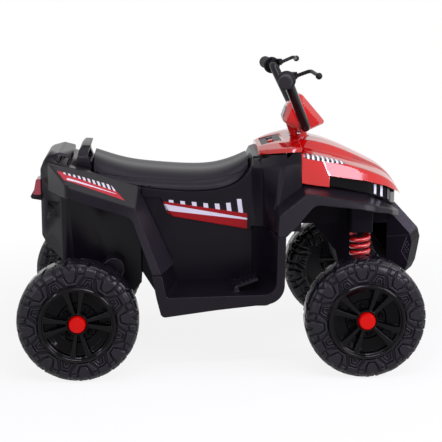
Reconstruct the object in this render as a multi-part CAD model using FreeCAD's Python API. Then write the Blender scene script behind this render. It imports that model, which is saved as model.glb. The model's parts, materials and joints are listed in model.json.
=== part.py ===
import FreeCAD, Part
import math
import os

V = FreeCAD.Vector
os.makedirs("parts", exist_ok=True)

# Layout, in millimetres: X runs forward, Y to the left, Z up from the ground
WHEELBASE = 684.0
TRACK = 526.0
TYRE_R = 145.0
TYRE_W = 103.0
NOSE_OVERHANG = 171.0
LENGTH = TYRE_R + WHEELBASE + NOSE_OVERHANG
REAR_X = TYRE_R - LENGTH / 2
FRONT_X = REAR_X + WHEELBASE
NOSE_X = FRONT_X + NOSE_OVERHANG
AXLE_Z = TYRE_R
WHEEL_Y = TRACK / 2

# Clearances
FIT = 0.1
SEAM = 0.4
SWING = 0.6

# Wheels
TREAD_COUNT = 16
TREAD_DEPTH = 5.0
GROOVE_W = 9.0
BEAD_R = 86.0
HUB_R = 24.0
WEB_OUT = 22.0
WEB_T = 4.0
COVER_PROUD = 6.5
CAP_R = 20.0
SPOKES = 4
FRONT_WHEEL_TURN = 45.0
DOG_L = 14.0
AXLE_R = 6.0
NUT_T = 8.0
NUT_R = 9.5
WASHER_T = 2.0
AXLE_TAIL = 3.0

# Body mouldings
WALL = 3.5
BODY_FLOOR_Z = 140.0
TUNNEL_Y = 125.6
REAR_BOX_Y = 150.0
REAR_BOX_FLOOR_Z = 112.0
REAR_BOX_FRONT = 150.0
FENDER_EDGE_Y = 265.0
RIM_Y = 272.0
LEG_SEAM_Z = 250.0
FRONT_SEAM_Z = 340.0
COWL_Y = 205.0
FENDER_ROOT_Y = 136.4
PAD_T = 5.0
COWL_TOP_Z = 540.0
TRAY_T = 5.0
CHARGE_BORE_R = 6.0

# Steering and front suspension
RAKE = 20.0
STEM_BACK = 136.0
STEM_Z = 550.0
STEM_R = 7.0
BOLT_R = 2.5
BOLT_ALONG = 5.0
BOLT_HEAD_R = 4.5
NECK_R = 21.0
STEER_ARM = 50.0
PIN_R = 4.0
KINGPIN_Y = 175.0
STRUT_R = 7.0
TOWER_Z = 335.0
TOWER_TOP_Z = 404.0
CARRIER_FRONT = 72.6
CARRIER_Y = 132.0
HOOD_POST = (-20.0, 62.0)
HOOD_POST_R = 9.0
SPRING_WIRE_R = 5.6
SPRING_R = 21.0
SPRING_TURNS = 7.5
SPRING_SEAT_T = 6.0
SPRING_SEAT_R = 28.0
TRAVEL = 20.0
BAR_R = 12.0
BAR_Z = 577.0
GRIP_R = 16.0
FLANGE_R = 22.0
LEVER_R = 4.5

# Drive
GEARBOX_T = 55.0
MOTOR_R = 18.0
MOTOR_L = 66.0
BATTERY = (150.0, 66.0, 96.0)

COS = math.cos(math.radians(RAKE))
SIN = math.sin(math.radians(RAKE))
STEM_X = FRONT_X - STEM_BACK
STEM_DIR = V(-SIN, 0, COS)
TIE_X = FRONT_X - STEER_ARM
TIE_Z = STEM_Z - ((TIE_X - STEM_X) * COS + STEER_ARM) / SIN
SPRING_SEAT_Z = AXLE_Z + 51.0
HALF_W = TYRE_W / 2


def rx(distance):
    """X of a place measured forward from the rear axle."""
    return REAR_X + distance


def fx(distance):
    """X of a place measured forward from the front axle."""
    return FRONT_X + distance


def nx(distance):
    """X of a place measured back from the nose of the bumper."""
    return NOSE_X - distance


def on_xz(y):
    return lambda u, v: V(u, y, v)


def on_xy(z):
    return lambda u, v: V(u, v, z)


def on_yz(x):
    return lambda u, v: V(x, u, v)


def corner_wire(points, place):
    """Closed wire through (u, v, r) corners, each corner rounded to its radius r."""
    starts = []
    ends = []
    middles = []
    count = len(points)
    for i in range(count):
        u, v, r = points[i]
        here = V(u, v, 0)
        back = (V(points[i - 1][0], points[i - 1][1], 0) - here).normalize()
        ahead_point = points[(i + 1) % count]
        ahead = (V(ahead_point[0], ahead_point[1], 0) - here).normalize()
        half = back.getAngle(ahead) / 2
        if r == 0 or half > 1.5698:
            starts.append(here)
            ends.append(here)
            middles.append(None)
            continue
        bisector = (back + ahead).normalize()
        reach = r / math.tan(half)
        starts.append(here + back * reach)
        ends.append(here + ahead * reach)
        middles.append(here + bisector * (r / math.sin(half) - r))
    edges = []
    for i in range(count):
        a, m, b = starts[i], middles[i], ends[i]
        if m is not None:
            edges.append(Part.Arc(place(a.x, a.y), place(m.x, m.y), place(b.x, b.y)).toShape())
        c = starts[(i + 1) % count]
        if (c - b).Length > 1e-6:
            edges.append(Part.LineSegment(place(b.x, b.y), place(c.x, c.y)).toShape())
    return Part.Wire(edges)


def turn_sign(points):
    """1 for an outline that runs anticlockwise, -1 for clockwise."""
    area = 0.0
    for i in range(len(points)):
        area += points[i - 1][0] * points[i][1] - points[i][0] * points[i - 1][1]
    return 1 if area > 0 else -1


def inset(points, steps):
    """Outline whose edge i, from corner i to the next, is moved inward by steps[i]."""
    count = len(points)
    sign = turn_sign(points)
    lines = []
    for i in range(count):
        a = V(points[i][0], points[i][1], 0)
        b = V(points[(i + 1) % count][0], points[(i + 1) % count][1], 0)
        along = (b - a).normalize()
        inward = V(-along.y, along.x, 0) * sign
        lines.append((a + inward * steps[i], along))
    moved = []
    for i in range(count):
        (p, d), (q, e) = lines[i - 1], lines[i]
        cross = d.x * e.y - d.y * e.x
        if abs(cross) < 1e-9:
            corner = q
        else:
            gap = q - p
            corner = p + d * ((gap.x * e.y - gap.y * e.x) / cross)
        r = points[i][2]
        if r > 0:
            step = (steps[i - 1] + steps[i]) / 2
            r = max(r - step if cross * sign > 0 else r + step, 0.5)
        moved.append((corner.x, corner.y, r))
    return moved


def band(points, thickness):
    """Closed outline of a strip: an open run of corners and its copy to the left."""
    count = len(points)
    lines = []
    for i in range(count - 1):
        a = V(points[i][0], points[i][1], 0)
        b = V(points[i + 1][0], points[i + 1][1], 0)
        along = (b - a).normalize()
        lines.append((a + V(-along.y, along.x, 0) * thickness, along, b))
    back = [(lines[0][0].x, lines[0][0].y, points[0][2])]
    for i in range(1, count - 1):
        (p, d, _), (q, e, _) = lines[i - 1], lines[i]
        cross = d.x * e.y - d.y * e.x
        gap = q - p
        corner = p + d * ((gap.x * e.y - gap.y * e.x) / cross)
        r = points[i][2] - thickness if cross > 0 else points[i][2] + thickness
        back.append((corner.x, corner.y, max(r, 0.5)))
    last_start, last_along, last_end = lines[-1]
    length = (last_end - V(points[-2][0], points[-2][1], 0)).Length
    tip = last_start + last_along * length
    back.append((tip.x, tip.y, points[-1][2]))
    return points + back[::-1]


def prism(points, y0, y1):
    """Side outline in X and Z, carried across from y0 to y1."""
    return Part.Face(corner_wire(points, on_xz(y0))).extrude(V(0, y1 - y0, 0))


def slab(points, z0, z1):
    """Plan outline in X and Y, carried up from z0 to z1."""
    return Part.Face(corner_wire(points, on_xy(z0))).extrude(V(0, 0, z1 - z0))


def bridge(first, place_first, second, place_second):
    """Straight-sided solid between two outlines with the same corners."""
    wires = [corner_wire(first, place_first), corner_wire(second, place_second)]
    return Part.makeLoft(wires, True, True)


def half_plan(points):
    """Whole plan outline from its right half, given from the rear to the front."""
    return points + [(x, -y, r) for x, y, r in points[::-1]]


def spin(points):
    """Ring turned about the Y axis from its (radius, y) outline."""
    face = Part.Face(corner_wire(points, on_xy(0)))
    return face.revolve(V(0, 0, 0), V(0, 1, 0), 360)


def turned(points, base, axis):
    """Turned piece from its (radius, height) outline, set at base along axis."""
    face = Part.Face(corner_wire(points, on_xz(0)))
    solid = face.revolve(V(0, 0, 0), V(0, 0, 1), 360)
    solid.Placement = FreeCAD.Placement(base, FreeCAD.Rotation(V(0, 0, 1), axis))
    return solid


def rod(base, axis, length, radius):
    return Part.makeCylinder(radius, length, base, axis)


def tube(base, axis, length, outer, inner):
    return rod(base, axis, length, outer).cut(rod(base, axis, length, inner))


def block(x0, x1, y0, y1, z0, z1):
    return Part.makeBox(x1 - x0, y1 - y0, z1 - z0, V(x0, y0, z0))


def bent_rod(points, bend, radius):
    """Round bar through the given places, its corners bent to the radius bend."""
    edges = []
    last = points[0]
    for i in range(1, len(points) - 1):
        here = points[i]
        back = (points[i - 1] - here).normalize()
        ahead = (points[i + 1] - here).normalize()
        half = back.getAngle(ahead) / 2
        reach = bend / math.tan(half)
        middle = here + (back + ahead).normalize() * (bend / math.sin(half) - bend)
        start = here + back * reach
        end = here + ahead * reach
        edges.append(Part.LineSegment(last, start).toShape())
        edges.append(Part.Arc(start, middle, end).toShape())
        last = end
    edges.append(Part.LineSegment(last, points[-1]).toShape())
    circle = Part.Circle(points[0], points[1] - points[0], radius).toShape()
    return Part.Wire(edges).makePipeShell([Part.Wire([circle])], True, False)


def mirrored(shape):
    return shape.mirror(V(0, 0, 0), V(0, 1, 0))


def fused(shapes):
    whole = shapes[0].fuse(shapes[1:])
    return whole.removeSplitter()


def stem_point(along, across=0.0, y=0.0):
    """Place along the steering axis from the stem's mark, and across it towards the front."""
    return V(STEM_X, y, STEM_Z) + STEM_DIR * along + V(COS, 0, SIN) * across


# Wheels

def wheel_moulding(driven):
    """Hollow wheel with its tread, web and hub in one; a driven one has drive dogs."""
    w = HALF_W
    lip = BEAD_R + 6
    crown = TYRE_R
    skin = TREAD_DEPTH + 4
    profile = [
        (AXLE_R + FIT, -WEB_OUT, 0), (BEAD_R, -WEB_OUT, 0), (BEAD_R, 4 - w, 1),
        (BEAD_R + 10, 1.5 - w, 2), (crown - 26, -w, 40), (crown - 8, 9 - w, 12),
        (crown, 26 - w, 20), (crown, w - 26, 20), (crown - 8, w - 9, 12),
        (crown - 26, w, 40), (BEAD_R + 16, w - 2, 1), (BEAD_R + 16, w - 7, 1),
        (crown - 28, w - 6, 20), (crown - 16, w - 15, 8), (crown - skin, w - 30, 8),
        (crown - skin, 30 - w, 8), (crown - 16, 15 - w, 8), (crown - 28, 6 - w, 20),
        (lip, 8 - w, 1), (lip, w - 15, 1), (BEAD_R, w - 15, 1),
        (BEAD_R, WEB_T - WEB_OUT, 0), (HUB_R, WEB_T - WEB_OUT, 0), (HUB_R, w - 1, 1),
        (AXLE_R + FIT, w - 1, 0)]
    body = spin(profile)
    grooves = []
    pitch = 360.0 / TREAD_COUNT
    for k in range(TREAD_COUNT):
        for side in (-1, 1):
            cut = block(-GROOVE_W / 2, GROOVE_W / 2, 7, w + 20, crown - TREAD_DEPTH, crown + 5)
            cut.rotate(V(0, 0, 0), V(0, 0, 1), 90 - 90 * side)
            cut.rotate(V(0, 0, 0), V(0, 0, 1), 22 * side)
            cut.rotate(V(0, 0, 0), V(0, 1, 0), pitch * (k + side / 4))
            grooves.append(cut)
    body = body.cut(grooves)
    if driven:
        dogs = [tube(V(0, w - 2, 0), V(0, 1, 0), DOG_L + 2, HUB_R - 8, AXLE_R + FIT)]
        for k in range(6):
            dog = block(-3, 3, w - 2, w + DOG_L, HUB_R - 10, HUB_R - 3)
            dog.rotate(V(0, 0, 0), V(0, 1, 0), 60 * k)
            dogs.append(dog)
        body = fused([body] + dogs)
    return body


def wheel_cover():
    """Gloss cover: ring, dished back plate with moulded bolt heads, twin spokes, cap boss."""
    w = HALF_W
    seat = w - 0.9
    back = WEB_OUT + 0.3
    ring = [
        (BEAD_R + 6, -seat, 0), (BEAD_R + 6, -(w + 4), 2), (BEAD_R + 3.5, -(w + COVER_PROUD), 2),
        (BEAD_R - 3, -(w + COVER_PROUD), 2), (BEAD_R - 6.5, -(w + 1), 2),
        (BEAD_R - 7.5, -(back + 4), 2), (CAP_R + 7.5, -(back + 4), 2), (CAP_R + 6, 3 - w, 1.5),
        (CAP_R + 2.4, 3 - w, 0), (CAP_R + 2.4, -back, 0), (BEAD_R - 0.4, -back, 0),
        (BEAD_R - 0.4, -seat, 0)]
    pieces = [spin(ring)]
    inner = CAP_R + 4.5
    outer = BEAD_R - 5.5
    for k in range(SPOKES):
        for side in (-1, 1):
            plan = [
                (side * 6.0, inner, 0), (side * 16.0, inner - 4, 0),
                (side * 24.0, outer - 3, 0), (side * 11.0, outer, 0)]
            spoke = prism(plan, -(w + 2.5), -(back + 3))
            spoke = spoke.cut(spoke_bevel(inner, outer))
            spoke.rotate(V(0, 0, 0), V(0, 1, 0), 360.0 / SPOKES * k)
            pieces.append(spoke)
        bolt = rod(V(0, -(back + 3), 38), V(0, -1, 0), 6, 5)
        bolt.rotate(V(0, 0, 0), V(0, 1, 0), 360.0 / SPOKES * (k + 0.5))
        pieces.append(bolt)
    return fused(pieces)


def spoke_bevel(inner, outer):
    """Wedge taken off a spoke so that its face falls towards the boss."""
    w = HALF_W
    fall = [(inner - 8, -(w + 20)), (outer + 4, -(w + 20)), (outer + 4, -(w + 2)), (inner - 8, 7 - w)]
    wire = Part.makePolygon([V(-40, y, z) for z, y in fall + fall[:1]])
    return Part.Face(wire).extrude(V(80, 0, 0))


def hub_cap():
    w = HALF_W
    return spin([
        (0, -(w + 6), 0), (CAP_R - 2.5, -(w + 6), 3), (CAP_R, -(w + 1), 2),
        (CAP_R + 2.1, -(w - 12), 0), (CAP_R + 2.1, -(WEB_OUT + 1), 0),
        (CAP_R - 2, -(WEB_OUT + 1), 0), (CAP_R - 3, -(w + 2), 0), (0, -(w + 2), 0)])


def placed_wheel(shape, axle_x, turn):
    placed = shape.copy()
    placed.rotate(V(0, 0, 0), V(0, 1, 0), turn)
    placed.translate(V(axle_x, -WHEEL_Y, AXLE_Z))
    return placed


def axle_nut(axle_x):
    """Washer and nut outside the web of a right wheel."""
    face = -(WHEEL_Y + WEB_OUT + SEAM)
    washer = tube(V(axle_x, face, AXLE_Z), V(0, -1, 0), WASHER_T, NUT_R + 3, AXLE_R + FIT)
    outline = []
    for k in range(6):
        a = math.radians(60 * k)
        outline.append((axle_x + NUT_R * math.cos(a), AXLE_Z + NUT_R * math.sin(a), 0))
    nut = prism(outline, face - WASHER_T, face - WASHER_T - NUT_T)
    hole = rod(V(axle_x, face, AXLE_Z), V(0, -1, 0), 30, AXLE_R + FIT)
    return fused([washer, nut.cut(hole)])


TAIL_Z = 416.0
LAMP_H = 40.0
AXLE_END_Y = WHEEL_Y + WEB_OUT + SEAM + WASHER_T + NUT_T + AXLE_TAIL


# Drive

GEARBOX_IN = REAR_BOX_Y + SEAM
GEARBOX_OUT = GEARBOX_IN + GEARBOX_T
MOTOR_X = 85.0
MOTOR_Z = 255.0


def gearbox():
    """Right gear housing from the axle up to the motor, with its dog recess."""
    low = V(REAR_X, -GEARBOX_IN, AXLE_Z)
    top = V(rx(MOTOR_X), -GEARBOX_IN, MOTOR_Z)
    low_r = 45.0
    top_r = 26.0
    line = top - low
    lean = math.acos((low_r - top_r) / line.Length)
    heading = math.atan2(line.z, line.x)
    corners = []
    for centre, r, s in ((low, low_r, 1), (low, low_r, -1), (top, top_r, -1), (top, top_r, 1)):
        a = heading + s * lean
        corners.append((centre.x + r * math.cos(a), centre.z + r * math.sin(a), 0))
    lobes = [rod(low, V(0, -1, 0), GEARBOX_T, low_r), rod(top, V(0, -1, 0), GEARBOX_T, top_r)]
    case = fused(lobes + [prism(corners, -GEARBOX_IN, -GEARBOX_OUT)])
    rim = [e for e in case.Edges if abs(e.CenterOfMass.y + GEARBOX_OUT) < 0.01]
    case = case.makeFillet(4, rim)
    recess_floor = WHEEL_Y - HALF_W - DOG_L - SWING
    recess = rod(V(REAR_X, -GEARBOX_OUT - 1, AXLE_Z), V(0, 1, 0), GEARBOX_OUT + 1 - recess_floor, HUB_R - 2)
    shaft = rod(V(REAR_X, 0, AXLE_Z), V(0, -1, 0), 400, AXLE_R + FIT)
    return case.cut([recess, shaft])


def motor():
    """Right drive motor: can, end boss and terminals, inside the rear box."""
    base = V(rx(MOTOR_X), -(GEARBOX_IN - SEAM), MOTOR_Z)
    can = turned([(0, 0, 0), (MOTOR_R, 0, 1), (MOTOR_R, MOTOR_L, 2), (8, MOTOR_L, 0),
                  (8, MOTOR_L + 5, 1), (0, MOTOR_L + 5, 0)], base, V(0, 1, 0))
    tags = [block(base.x + s - 1, base.x + s + 1, base.y + MOTOR_L - 1, base.y + MOTOR_L + 8,
                  MOTOR_Z - 13, MOTOR_Z - 9) for s in (-6, 6)]
    return fused([can] + tags)


# Body mouldings

def seat_line(drop):
    """Line in side view where the seat meets the body, lowered by drop."""
    places = [(rx(30), 476), (rx(148), 440), (rx(230), 430), (fx(-360), 430), (fx(-300), 447), (fx(-262), 486)]
    curve = Part.BSplineCurve()
    curve.interpolate([V(x, 0, z - drop) for x, z in places])
    return curve.toShape()


def below_seat(drop, low, y):
    """Space under the seat line, from the height low up, out to y each side."""
    top = seat_line(drop)
    a = top.Vertexes[0].Point
    b = top.Vertexes[-1].Point
    sides = [
        Part.LineSegment(b, V(b.x, 0, low)).toShape(),
        Part.LineSegment(V(b.x, 0, low), V(a.x, 0, low)).toShape(),
        Part.LineSegment(V(a.x, 0, low), a).toShape()]
    face = Part.Face(Part.Wire([top] + sides))
    face.translate(V(0, -y, 0))
    return face.extrude(V(0, 2 * y, 0))


TUNNEL_REAR = REAR_BOX_FRONT + SEAM
TUNNEL_FRONT = -214.0
COWL_FRONT = -147.4
COWL_SLOPE = ((-266.0, 507.0), (-140.0, 532.0))
COWL_BROW_H = 24.0
TRAY_REAR = 206.0


def cowl_foot(step):
    """Plan outline of the leg shield low down, moved inward by step."""
    half = [(fx(-264), TUNNEL_Y + PAD_T, 0), (fx(-228), 150, 30), (fx(-214), COWL_Y, 2),
            (fx(COWL_FRONT), COWL_Y, 0)]
    return half_plan([(x + step, step - y, r) for x, y, r in half])


def cowl_shoulder(step):
    """Plan outline where the cowl turns over to its top, moved inward by step."""
    half = [(fx(-264), 127, 0), (fx(-238), 152, 30), (fx(-192), 181, 60), (fx(COWL_FRONT), 196, 0)]
    return half_plan([(x + step, step - y, r) for x, y, r in half])


def cowl_brow(step):
    """Plan outline of the cowl's top edge round the dash, moved inward by step."""
    half = [(fx(-257), 88, 0), (fx(-240), 106, 20), (fx(-198), 152, 60), (fx(COWL_FRONT), 184.5, 0)]
    return half_plan([(x + step, step - y, r) for x, y, r in half])


def on_cowl_slope(rise):
    """Plane of the cowl's sloping top edge, moved up by rise."""
    (x0, z0), (x1, z1) = COWL_SLOPE
    return lambda u, v: V(u, v, z0 + (u - fx(x0)) * (z1 - z0) / (x1 - x0) + rise)


def side_pad():
    """Raised upper panel on the right side of the tunnel, under the seat."""
    line = [(rx(TUNNEL_REAR), 414, 0), (rx(197), 412, 8), (rx(207), 396, 14), (rx(226), 366, 12),
            (fx(-263), 331, 0), (fx(-263), 480, 0), (rx(TUNNEL_REAR), 480, 0)]
    return prism(line, 1 - TUNNEL_Y, -(TUNNEL_Y + PAD_T)).common(below_seat(SEAM, BODY_FLOOR_Z, 300))


def center_body():
    """Tunnel under the seat with the leg shield and cowl in front, open underneath."""
    high = COWL_TOP_Z - SEAM
    slope = [(fx(x), z - SEAM, 0) for x, z in COWL_SLOPE]
    above = prism(slope + [(fx(-140), 620, 0), (fx(-266), 620, 0)], -300, 300)
    tunnel = slab(half_plan([(rx(TUNNEL_REAR), -TUNNEL_Y, 0), (fx(TUNNEL_FRONT), -TUNNEL_Y, 12)]),
                  BODY_FLOOR_Z, high)
    tunnel = tunnel.common(below_seat(SEAM, BODY_FLOOR_Z, 300).fuse(
        block(fx(-262), fx(-100), -300, 300, BODY_FLOOR_Z, FRONT_SEAM_Z + 2)))
    cowl = fused([
        bridge(cowl_foot(0), on_xy(FRONT_SEAM_Z + SEAM), cowl_shoulder(0), on_cowl_slope(-COWL_BROW_H)),
        bridge(cowl_shoulder(0), on_cowl_slope(-COWL_BROW_H), cowl_brow(0), on_cowl_slope(-SEAM))])
    pad = side_pad()
    skin = fused([tunnel, cowl, pad, mirrored(pad)]).cut(above)
    low = BODY_FLOOR_Z - 10
    hollow = slab(half_plan([(rx(TUNNEL_REAR) - 10, -(TUNNEL_Y - WALL), 0),
                             (fx(TUNNEL_FRONT) - WALL, -(TUNNEL_Y - WALL), 9)]), low, high)
    hollow = hollow.common(below_seat(SEAM + WALL, low, 300).fuse(
        block(fx(-262) - 1, fx(-100), -300, 300, low, FRONT_SEAM_Z + 5)))
    cowl_hollow = fused([
        bridge(cowl_foot(WALL), on_xy(FRONT_SEAM_Z - 5), cowl_shoulder(WALL), on_cowl_slope(-COWL_BROW_H)),
        bridge(cowl_shoulder(WALL), on_cowl_slope(-COWL_BROW_H), cowl_brow(WALL), on_cowl_slope(5))])
    lid = [(x, z - WALL, 0) for x, z, r in slope]
    cowl_hollow = cowl_hollow.cut(prism(lid + [(fx(-236), 620, 0), (fx(-266), 620, 0)], -200, 200).common(
        block(fx(-270), fx(-236), -200, 200, 480, 620)))
    reach = COWL_Y - WALL - 30
    ahead = block(fx(-180), fx(-100), -reach, reach, FRONT_SEAM_Z - 5, high + 5)
    back = rx(TUNNEL_REAR)
    heel = prism([(back - 5, BODY_FLOOR_Z - 20, 0), (back - 5, 225, 0), (back + 2, 225, 0),
                  (rx(TRAY_REAR), BODY_FLOOR_Z - 2, 0), (rx(TRAY_REAR), BODY_FLOOR_Z - 20, 0)], -300, 300)
    column = rod(stem_point(-420), STEM_DIR, 500, STEM_R + 12)
    charge = rod(V(fx(-290), TUNNEL_Y - 15, 300), V(0, 1, 0), 30, CHARGE_BORE_R)
    return skin.cut([hollow, cowl_hollow, ahead, heel, column, charge])


def rear_box_plan(step):
    """Plan outline of the rear box with its chamfered rear corners, moved inward by step."""
    side = -(REAR_BOX_Y - step)
    return half_plan([(rx(-95) + step, -(105 - step * 0.6), 0), (rx(-38) + step * 0.6, side, 20),
                      (rx(REAR_BOX_FRONT), side, 0)])


def rear_box_side(step):
    """Side outline of the rear box, moved inward by step but open in front."""
    outline = [
        (rx(-84), 509, 8), (rx(-95), 482, 8), (rx(-95), 318, 14), (rx(-84), 300, 12), (rx(-45), 266, 12),
        (rx(-36), REAR_BOX_FLOOR_Z, 10), (rx(70), REAR_BOX_FLOOR_Z, 10), (rx(REAR_BOX_FRONT), 206, 0),
        (rx(REAR_BOX_FRONT), 440, 0), (rx(28), 480, 20)]
    return inset(outline, [step] * 7 + [-20 if step else 0] + [step] * 2)


def above_seat(drop):
    """Space over the seat line, lowered by drop, as wide as the seat."""
    room = block(rx(28), fx(-262), -(TUNNEL_Y + 4), TUNNEL_Y + 4, 400, 620)
    return room.cut(below_seat(drop, 300, 300))


def rear_body():
    """Rear box with wheel-well sides, deck with carrier hump and its slot, open in front."""
    outer = prism(rear_box_side(0), -300, 300).common(slab(rear_box_plan(0), 0, 700))
    inner_plan = [(x + (20 if x > rx(100) else 0), y, r) for x, y, r in rear_box_plan(WALL)]
    inner = prism(rear_box_side(WALL), -300, 300).common(slab(inner_plan, 0, 700))
    wide = 100.0
    hump = prism([(rx(-88), 484, 0), (rx(-79), 512, 10), (rx(-48), 521, 12), (rx(-20), 513, 4),
                  (rx(-22), 484, 0)], -wide, wide)
    rail = [(-wide, 470, 0), (-wide, 506, 8), (12 - wide, 530, 0)]
    rail = Part.Face(corner_wire(rail + [(-y, z, r) for y, z, r in rail[::-1]], on_yz(rx(-120))))
    hump = hump.common(rail.extrude(V(150, 0, 0)))
    grip_slot = prism([(rx(-47), 499, 4), (rx(-47), 513, 5), (rx(-27), 508, 5), (rx(-27), 494, 4)], -120, 120)
    lip = prism([(rx(-94), TAIL_Z - 12, 0), (rx(-118), TAIL_Z - 8, 3), (rx(-122), TAIL_Z, 2),
                 (rx(-94), TAIL_Z, 0)], -104, 104)
    corner = [(rx(-77), -117, 0), (rx(-45), -142, 0), (rx(-50), -148, 0), (rx(-82), -123, 0)]
    corner_pocket = slab(corner, 368, 407)
    pockets = [corner_pocket, mirrored(corner_pocket)]
    box = fused([outer.cut(inner), hump, lip]).cut([grip_slot, above_seat(SEAM)] + pockets)
    axle = rod(V(REAR_X, -300, AXLE_Z), V(0, 1, 0), 600, AXLE_R + FIT)
    ports = [rod(V(rx(MOTOR_X), s * 120, MOTOR_Z), V(0, s, 0), 60, MOTOR_R + SEAM) for s in (-1, 1)]
    return box.cut([axle] + ports)


def rear_fender_outline(crease):
    """Side outline of a rear fender at its inner edge, or at the crease further out."""
    arch = [(rx(176), LEG_SEAM_Z, 0), (rx(129), 388, 28), (rx(-19), 435, 10), (rx(-110), 437, 0)]
    if crease:
        return [(rx(-110), 488, 0), (rx(-14), 461, 25), (rx(138), 412, 10), (rx(199), LEG_SEAM_Z, 0)] + arch
    return [(rx(-110), 513, 0), (rx(14), 484, 60), (rx(143), 446, 10), (rx(230), LEG_SEAM_Z, 0)] + arch


def fender_tail_plan(step):
    """Plan outline that cuts a rear fender's tail off at a slant, moved inward by step."""
    edge = -(FENDER_EDGE_Y + 1)
    back = step * 1.1
    return [(rx(-95) + back, -105, 0), (rx(-20) + back, edge, 30), (rx(300), edge, 0), (rx(300), -105, 0)]


def rear_fender():
    """Right rear fender: sloped panel, skirt, slanted tail and leg guard, open to the wheel."""
    near = -(REAR_BOX_Y + SEAM)
    edge = -FENDER_EDGE_Y
    root = rear_fender_outline(False)
    crease = rear_fender_outline(True)
    steps = [WALL, WALL, WALL, -20, -20, -20, -20, -20]
    outer = bridge(root, on_xz(near), crease, on_xz(edge)).common(slab(fender_tail_plan(0), 100, 700))
    inner = bridge(inset(root, steps), on_xz(near + 1), inset(crease, steps), on_xz(edge + WALL))
    return outer.cut(inner.common(slab(fender_tail_plan(WALL), 100, 700)))


def footboard_line(y_out):
    """Inner line of a footboard in side view: rear upstand, floor, front wall."""
    seam = LEG_SEAM_Z - SEAM
    if y_out:
        return [(rx(199), seam, 0), (rx(211), 196, 8), (fx(-213), 202, 30), (fx(-209), FRONT_SEAM_Z, 0)]
    return [(rx(224), seam, 0), (rx(239), 203, 8), (fx(-232), 205.5, 30), (fx(-228), FRONT_SEAM_Z, 0)]


def footboard():
    """Right footboard: rim with its legs, floor, walls and corner gusset."""
    seam = LEG_SEAM_Z - SEAM
    inside = footboard_line(True)
    rim = [(rx(176), seam, 0), (rx(186), 196, 12), (rx(198), 147, 12), (rx(330), 165, 80), (fx(-193), 182, 46),
           (fx(-190), FRONT_SEAM_Z, 0)] + inside[::-1]
    plate = prism(rim, -RIM_Y, -(RIM_Y - WALL))
    face_edges = [e for e in plate.Edges if max(abs(v.Y + RIM_Y) for v in e.Vertexes) < 0.01]
    plate = plate.makeFillet(1.6, face_edges)
    floor = bridge(band(inside, -WALL), on_xz(-(RIM_Y - 2)),
                   band(footboard_line(False), -WALL), on_xz(-(TUNNEL_Y + SEAM)))
    gusset = slab([(fx(-262), -(TUNNEL_Y + SEAM), 0), (fx(-226.8), -(TUNNEL_Y + SEAM), 0),
                   (fx(-222.8), -(TUNNEL_Y + 28), 0)], 214, FRONT_SEAM_Z - SEAM)
    shelf = slab([(fx(-207), 2 - RIM_Y, 0), (fx(-191), 2 - RIM_Y, 0), (fx(-191), -(TUNNEL_Y + 1), 0),
                  (fx(-226), -(TUNNEL_Y + 1), 0)], FRONT_SEAM_Z - WALL, FRONT_SEAM_Z - SEAM)
    return fused([plate, floor, gusset, shelf])


def pedal_lugs():
    """Two ears and the pin that the pedal turns on, moulded on the right floor."""
    ears = []
    for y in PEDAL_LUGS:
        outline = [(PEDAL_X - 8, 199.5, 0), (PEDAL_X + 8, 199.5, 0), (PEDAL_X + 6, PEDAL_Z, 5),
                   (PEDAL_X + 3, PEDAL_Z + 6, 4), (PEDAL_X - 3, PEDAL_Z + 6, 4), (PEDAL_X - 6, PEDAL_Z, 5)]
        ears.append(prism(outline, y - 2, y + 2))
    pin = rod(V(PEDAL_X, PEDAL_LUGS[0], PEDAL_Z), V(0, 1, 0), PEDAL_LUGS[1] - PEDAL_LUGS[0], PEDAL_PIN_R)
    return fused(ears + [pin])


PEDAL_X = FRONT_X - 306.0
PEDAL_Z = 210.0
PEDAL_PIN_R = 2.5
PEDAL_LUGS = (-238.0, -168.0)


def foot_pedal():
    """Accelerator plate with ribs, its barrel on the pin of the right footboard."""
    y0 = PEDAL_LUGS[0] + 2 + SEAM
    y1 = PEDAL_LUGS[1] - 2 - SEAM
    plate = prism([(PEDAL_X - 2, PEDAL_Z - 3, 0), (PEDAL_X + 54, PEDAL_Z + 18, 3),
                   (PEDAL_X + 51, PEDAL_Z + 24, 3), (PEDAL_X - 4, PEDAL_Z + 4, 0)], y0, y1)
    barrel = rod(V(PEDAL_X, y0, PEDAL_Z), V(0, 1, 0), y1 - y0, 4.5)
    ribs = []
    for k in range(4):
        x = PEDAL_X + 12 + 9.5 * k
        z = PEDAL_Z + 6.5 + 9.5 * k * 0.36
        ribs.append(block(x, x + 4, y0 + 5, y1 - 5, z, z + 7))
    pin = rod(V(PEDAL_X, y0 - 1, PEDAL_Z), V(0, 1, 0), y1 - y0 + 2, PEDAL_PIN_R + FIT)
    return fused([plate, barrel] + ribs).cut(pin)


def front_fender_outline(inner):
    """Side outline of a front fender at its skirt, or where it runs in under the hood."""
    seam = FRONT_SEAM_Z + SEAM
    arch = [(fx(116), 357, 0), (fx(58), 387, 60), (fx(-7), 405, 80), (fx(-122), 418, 28), (fx(-165), 366, 14),
            (fx(-190), seam, 0)]
    if inner:
        return [(fx(-218), seam, 0), (fx(-216), 410, 22), (fx(-149), 459, 30), (fx(-72), 452, 60),
                (fx(7), 430, 60), (fx(60), 403, 60), (fx(116), 369, 0)] + arch
    return [(fx(-209), seam, 0), (fx(-207), 391, 22), (fx(-140), 446, 30), (fx(-72), 433, 60), (fx(7), 419, 60),
            (fx(60), 397, 60), (fx(116), 366, 0)] + arch


def fender_nose_plan(step):
    """Plan outline that curves a front fender in towards the bumper, moved inward by step."""
    return [(fx(-260), -100, 0), (fx(-260), step - RIM_Y - 1, 0), (fx(14), step - RIM_Y - 1, 70),
            (fx(74), step - 204, 50), (fx(99) - step, -140, 0), (fx(99) - step, -100, 0)]


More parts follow.
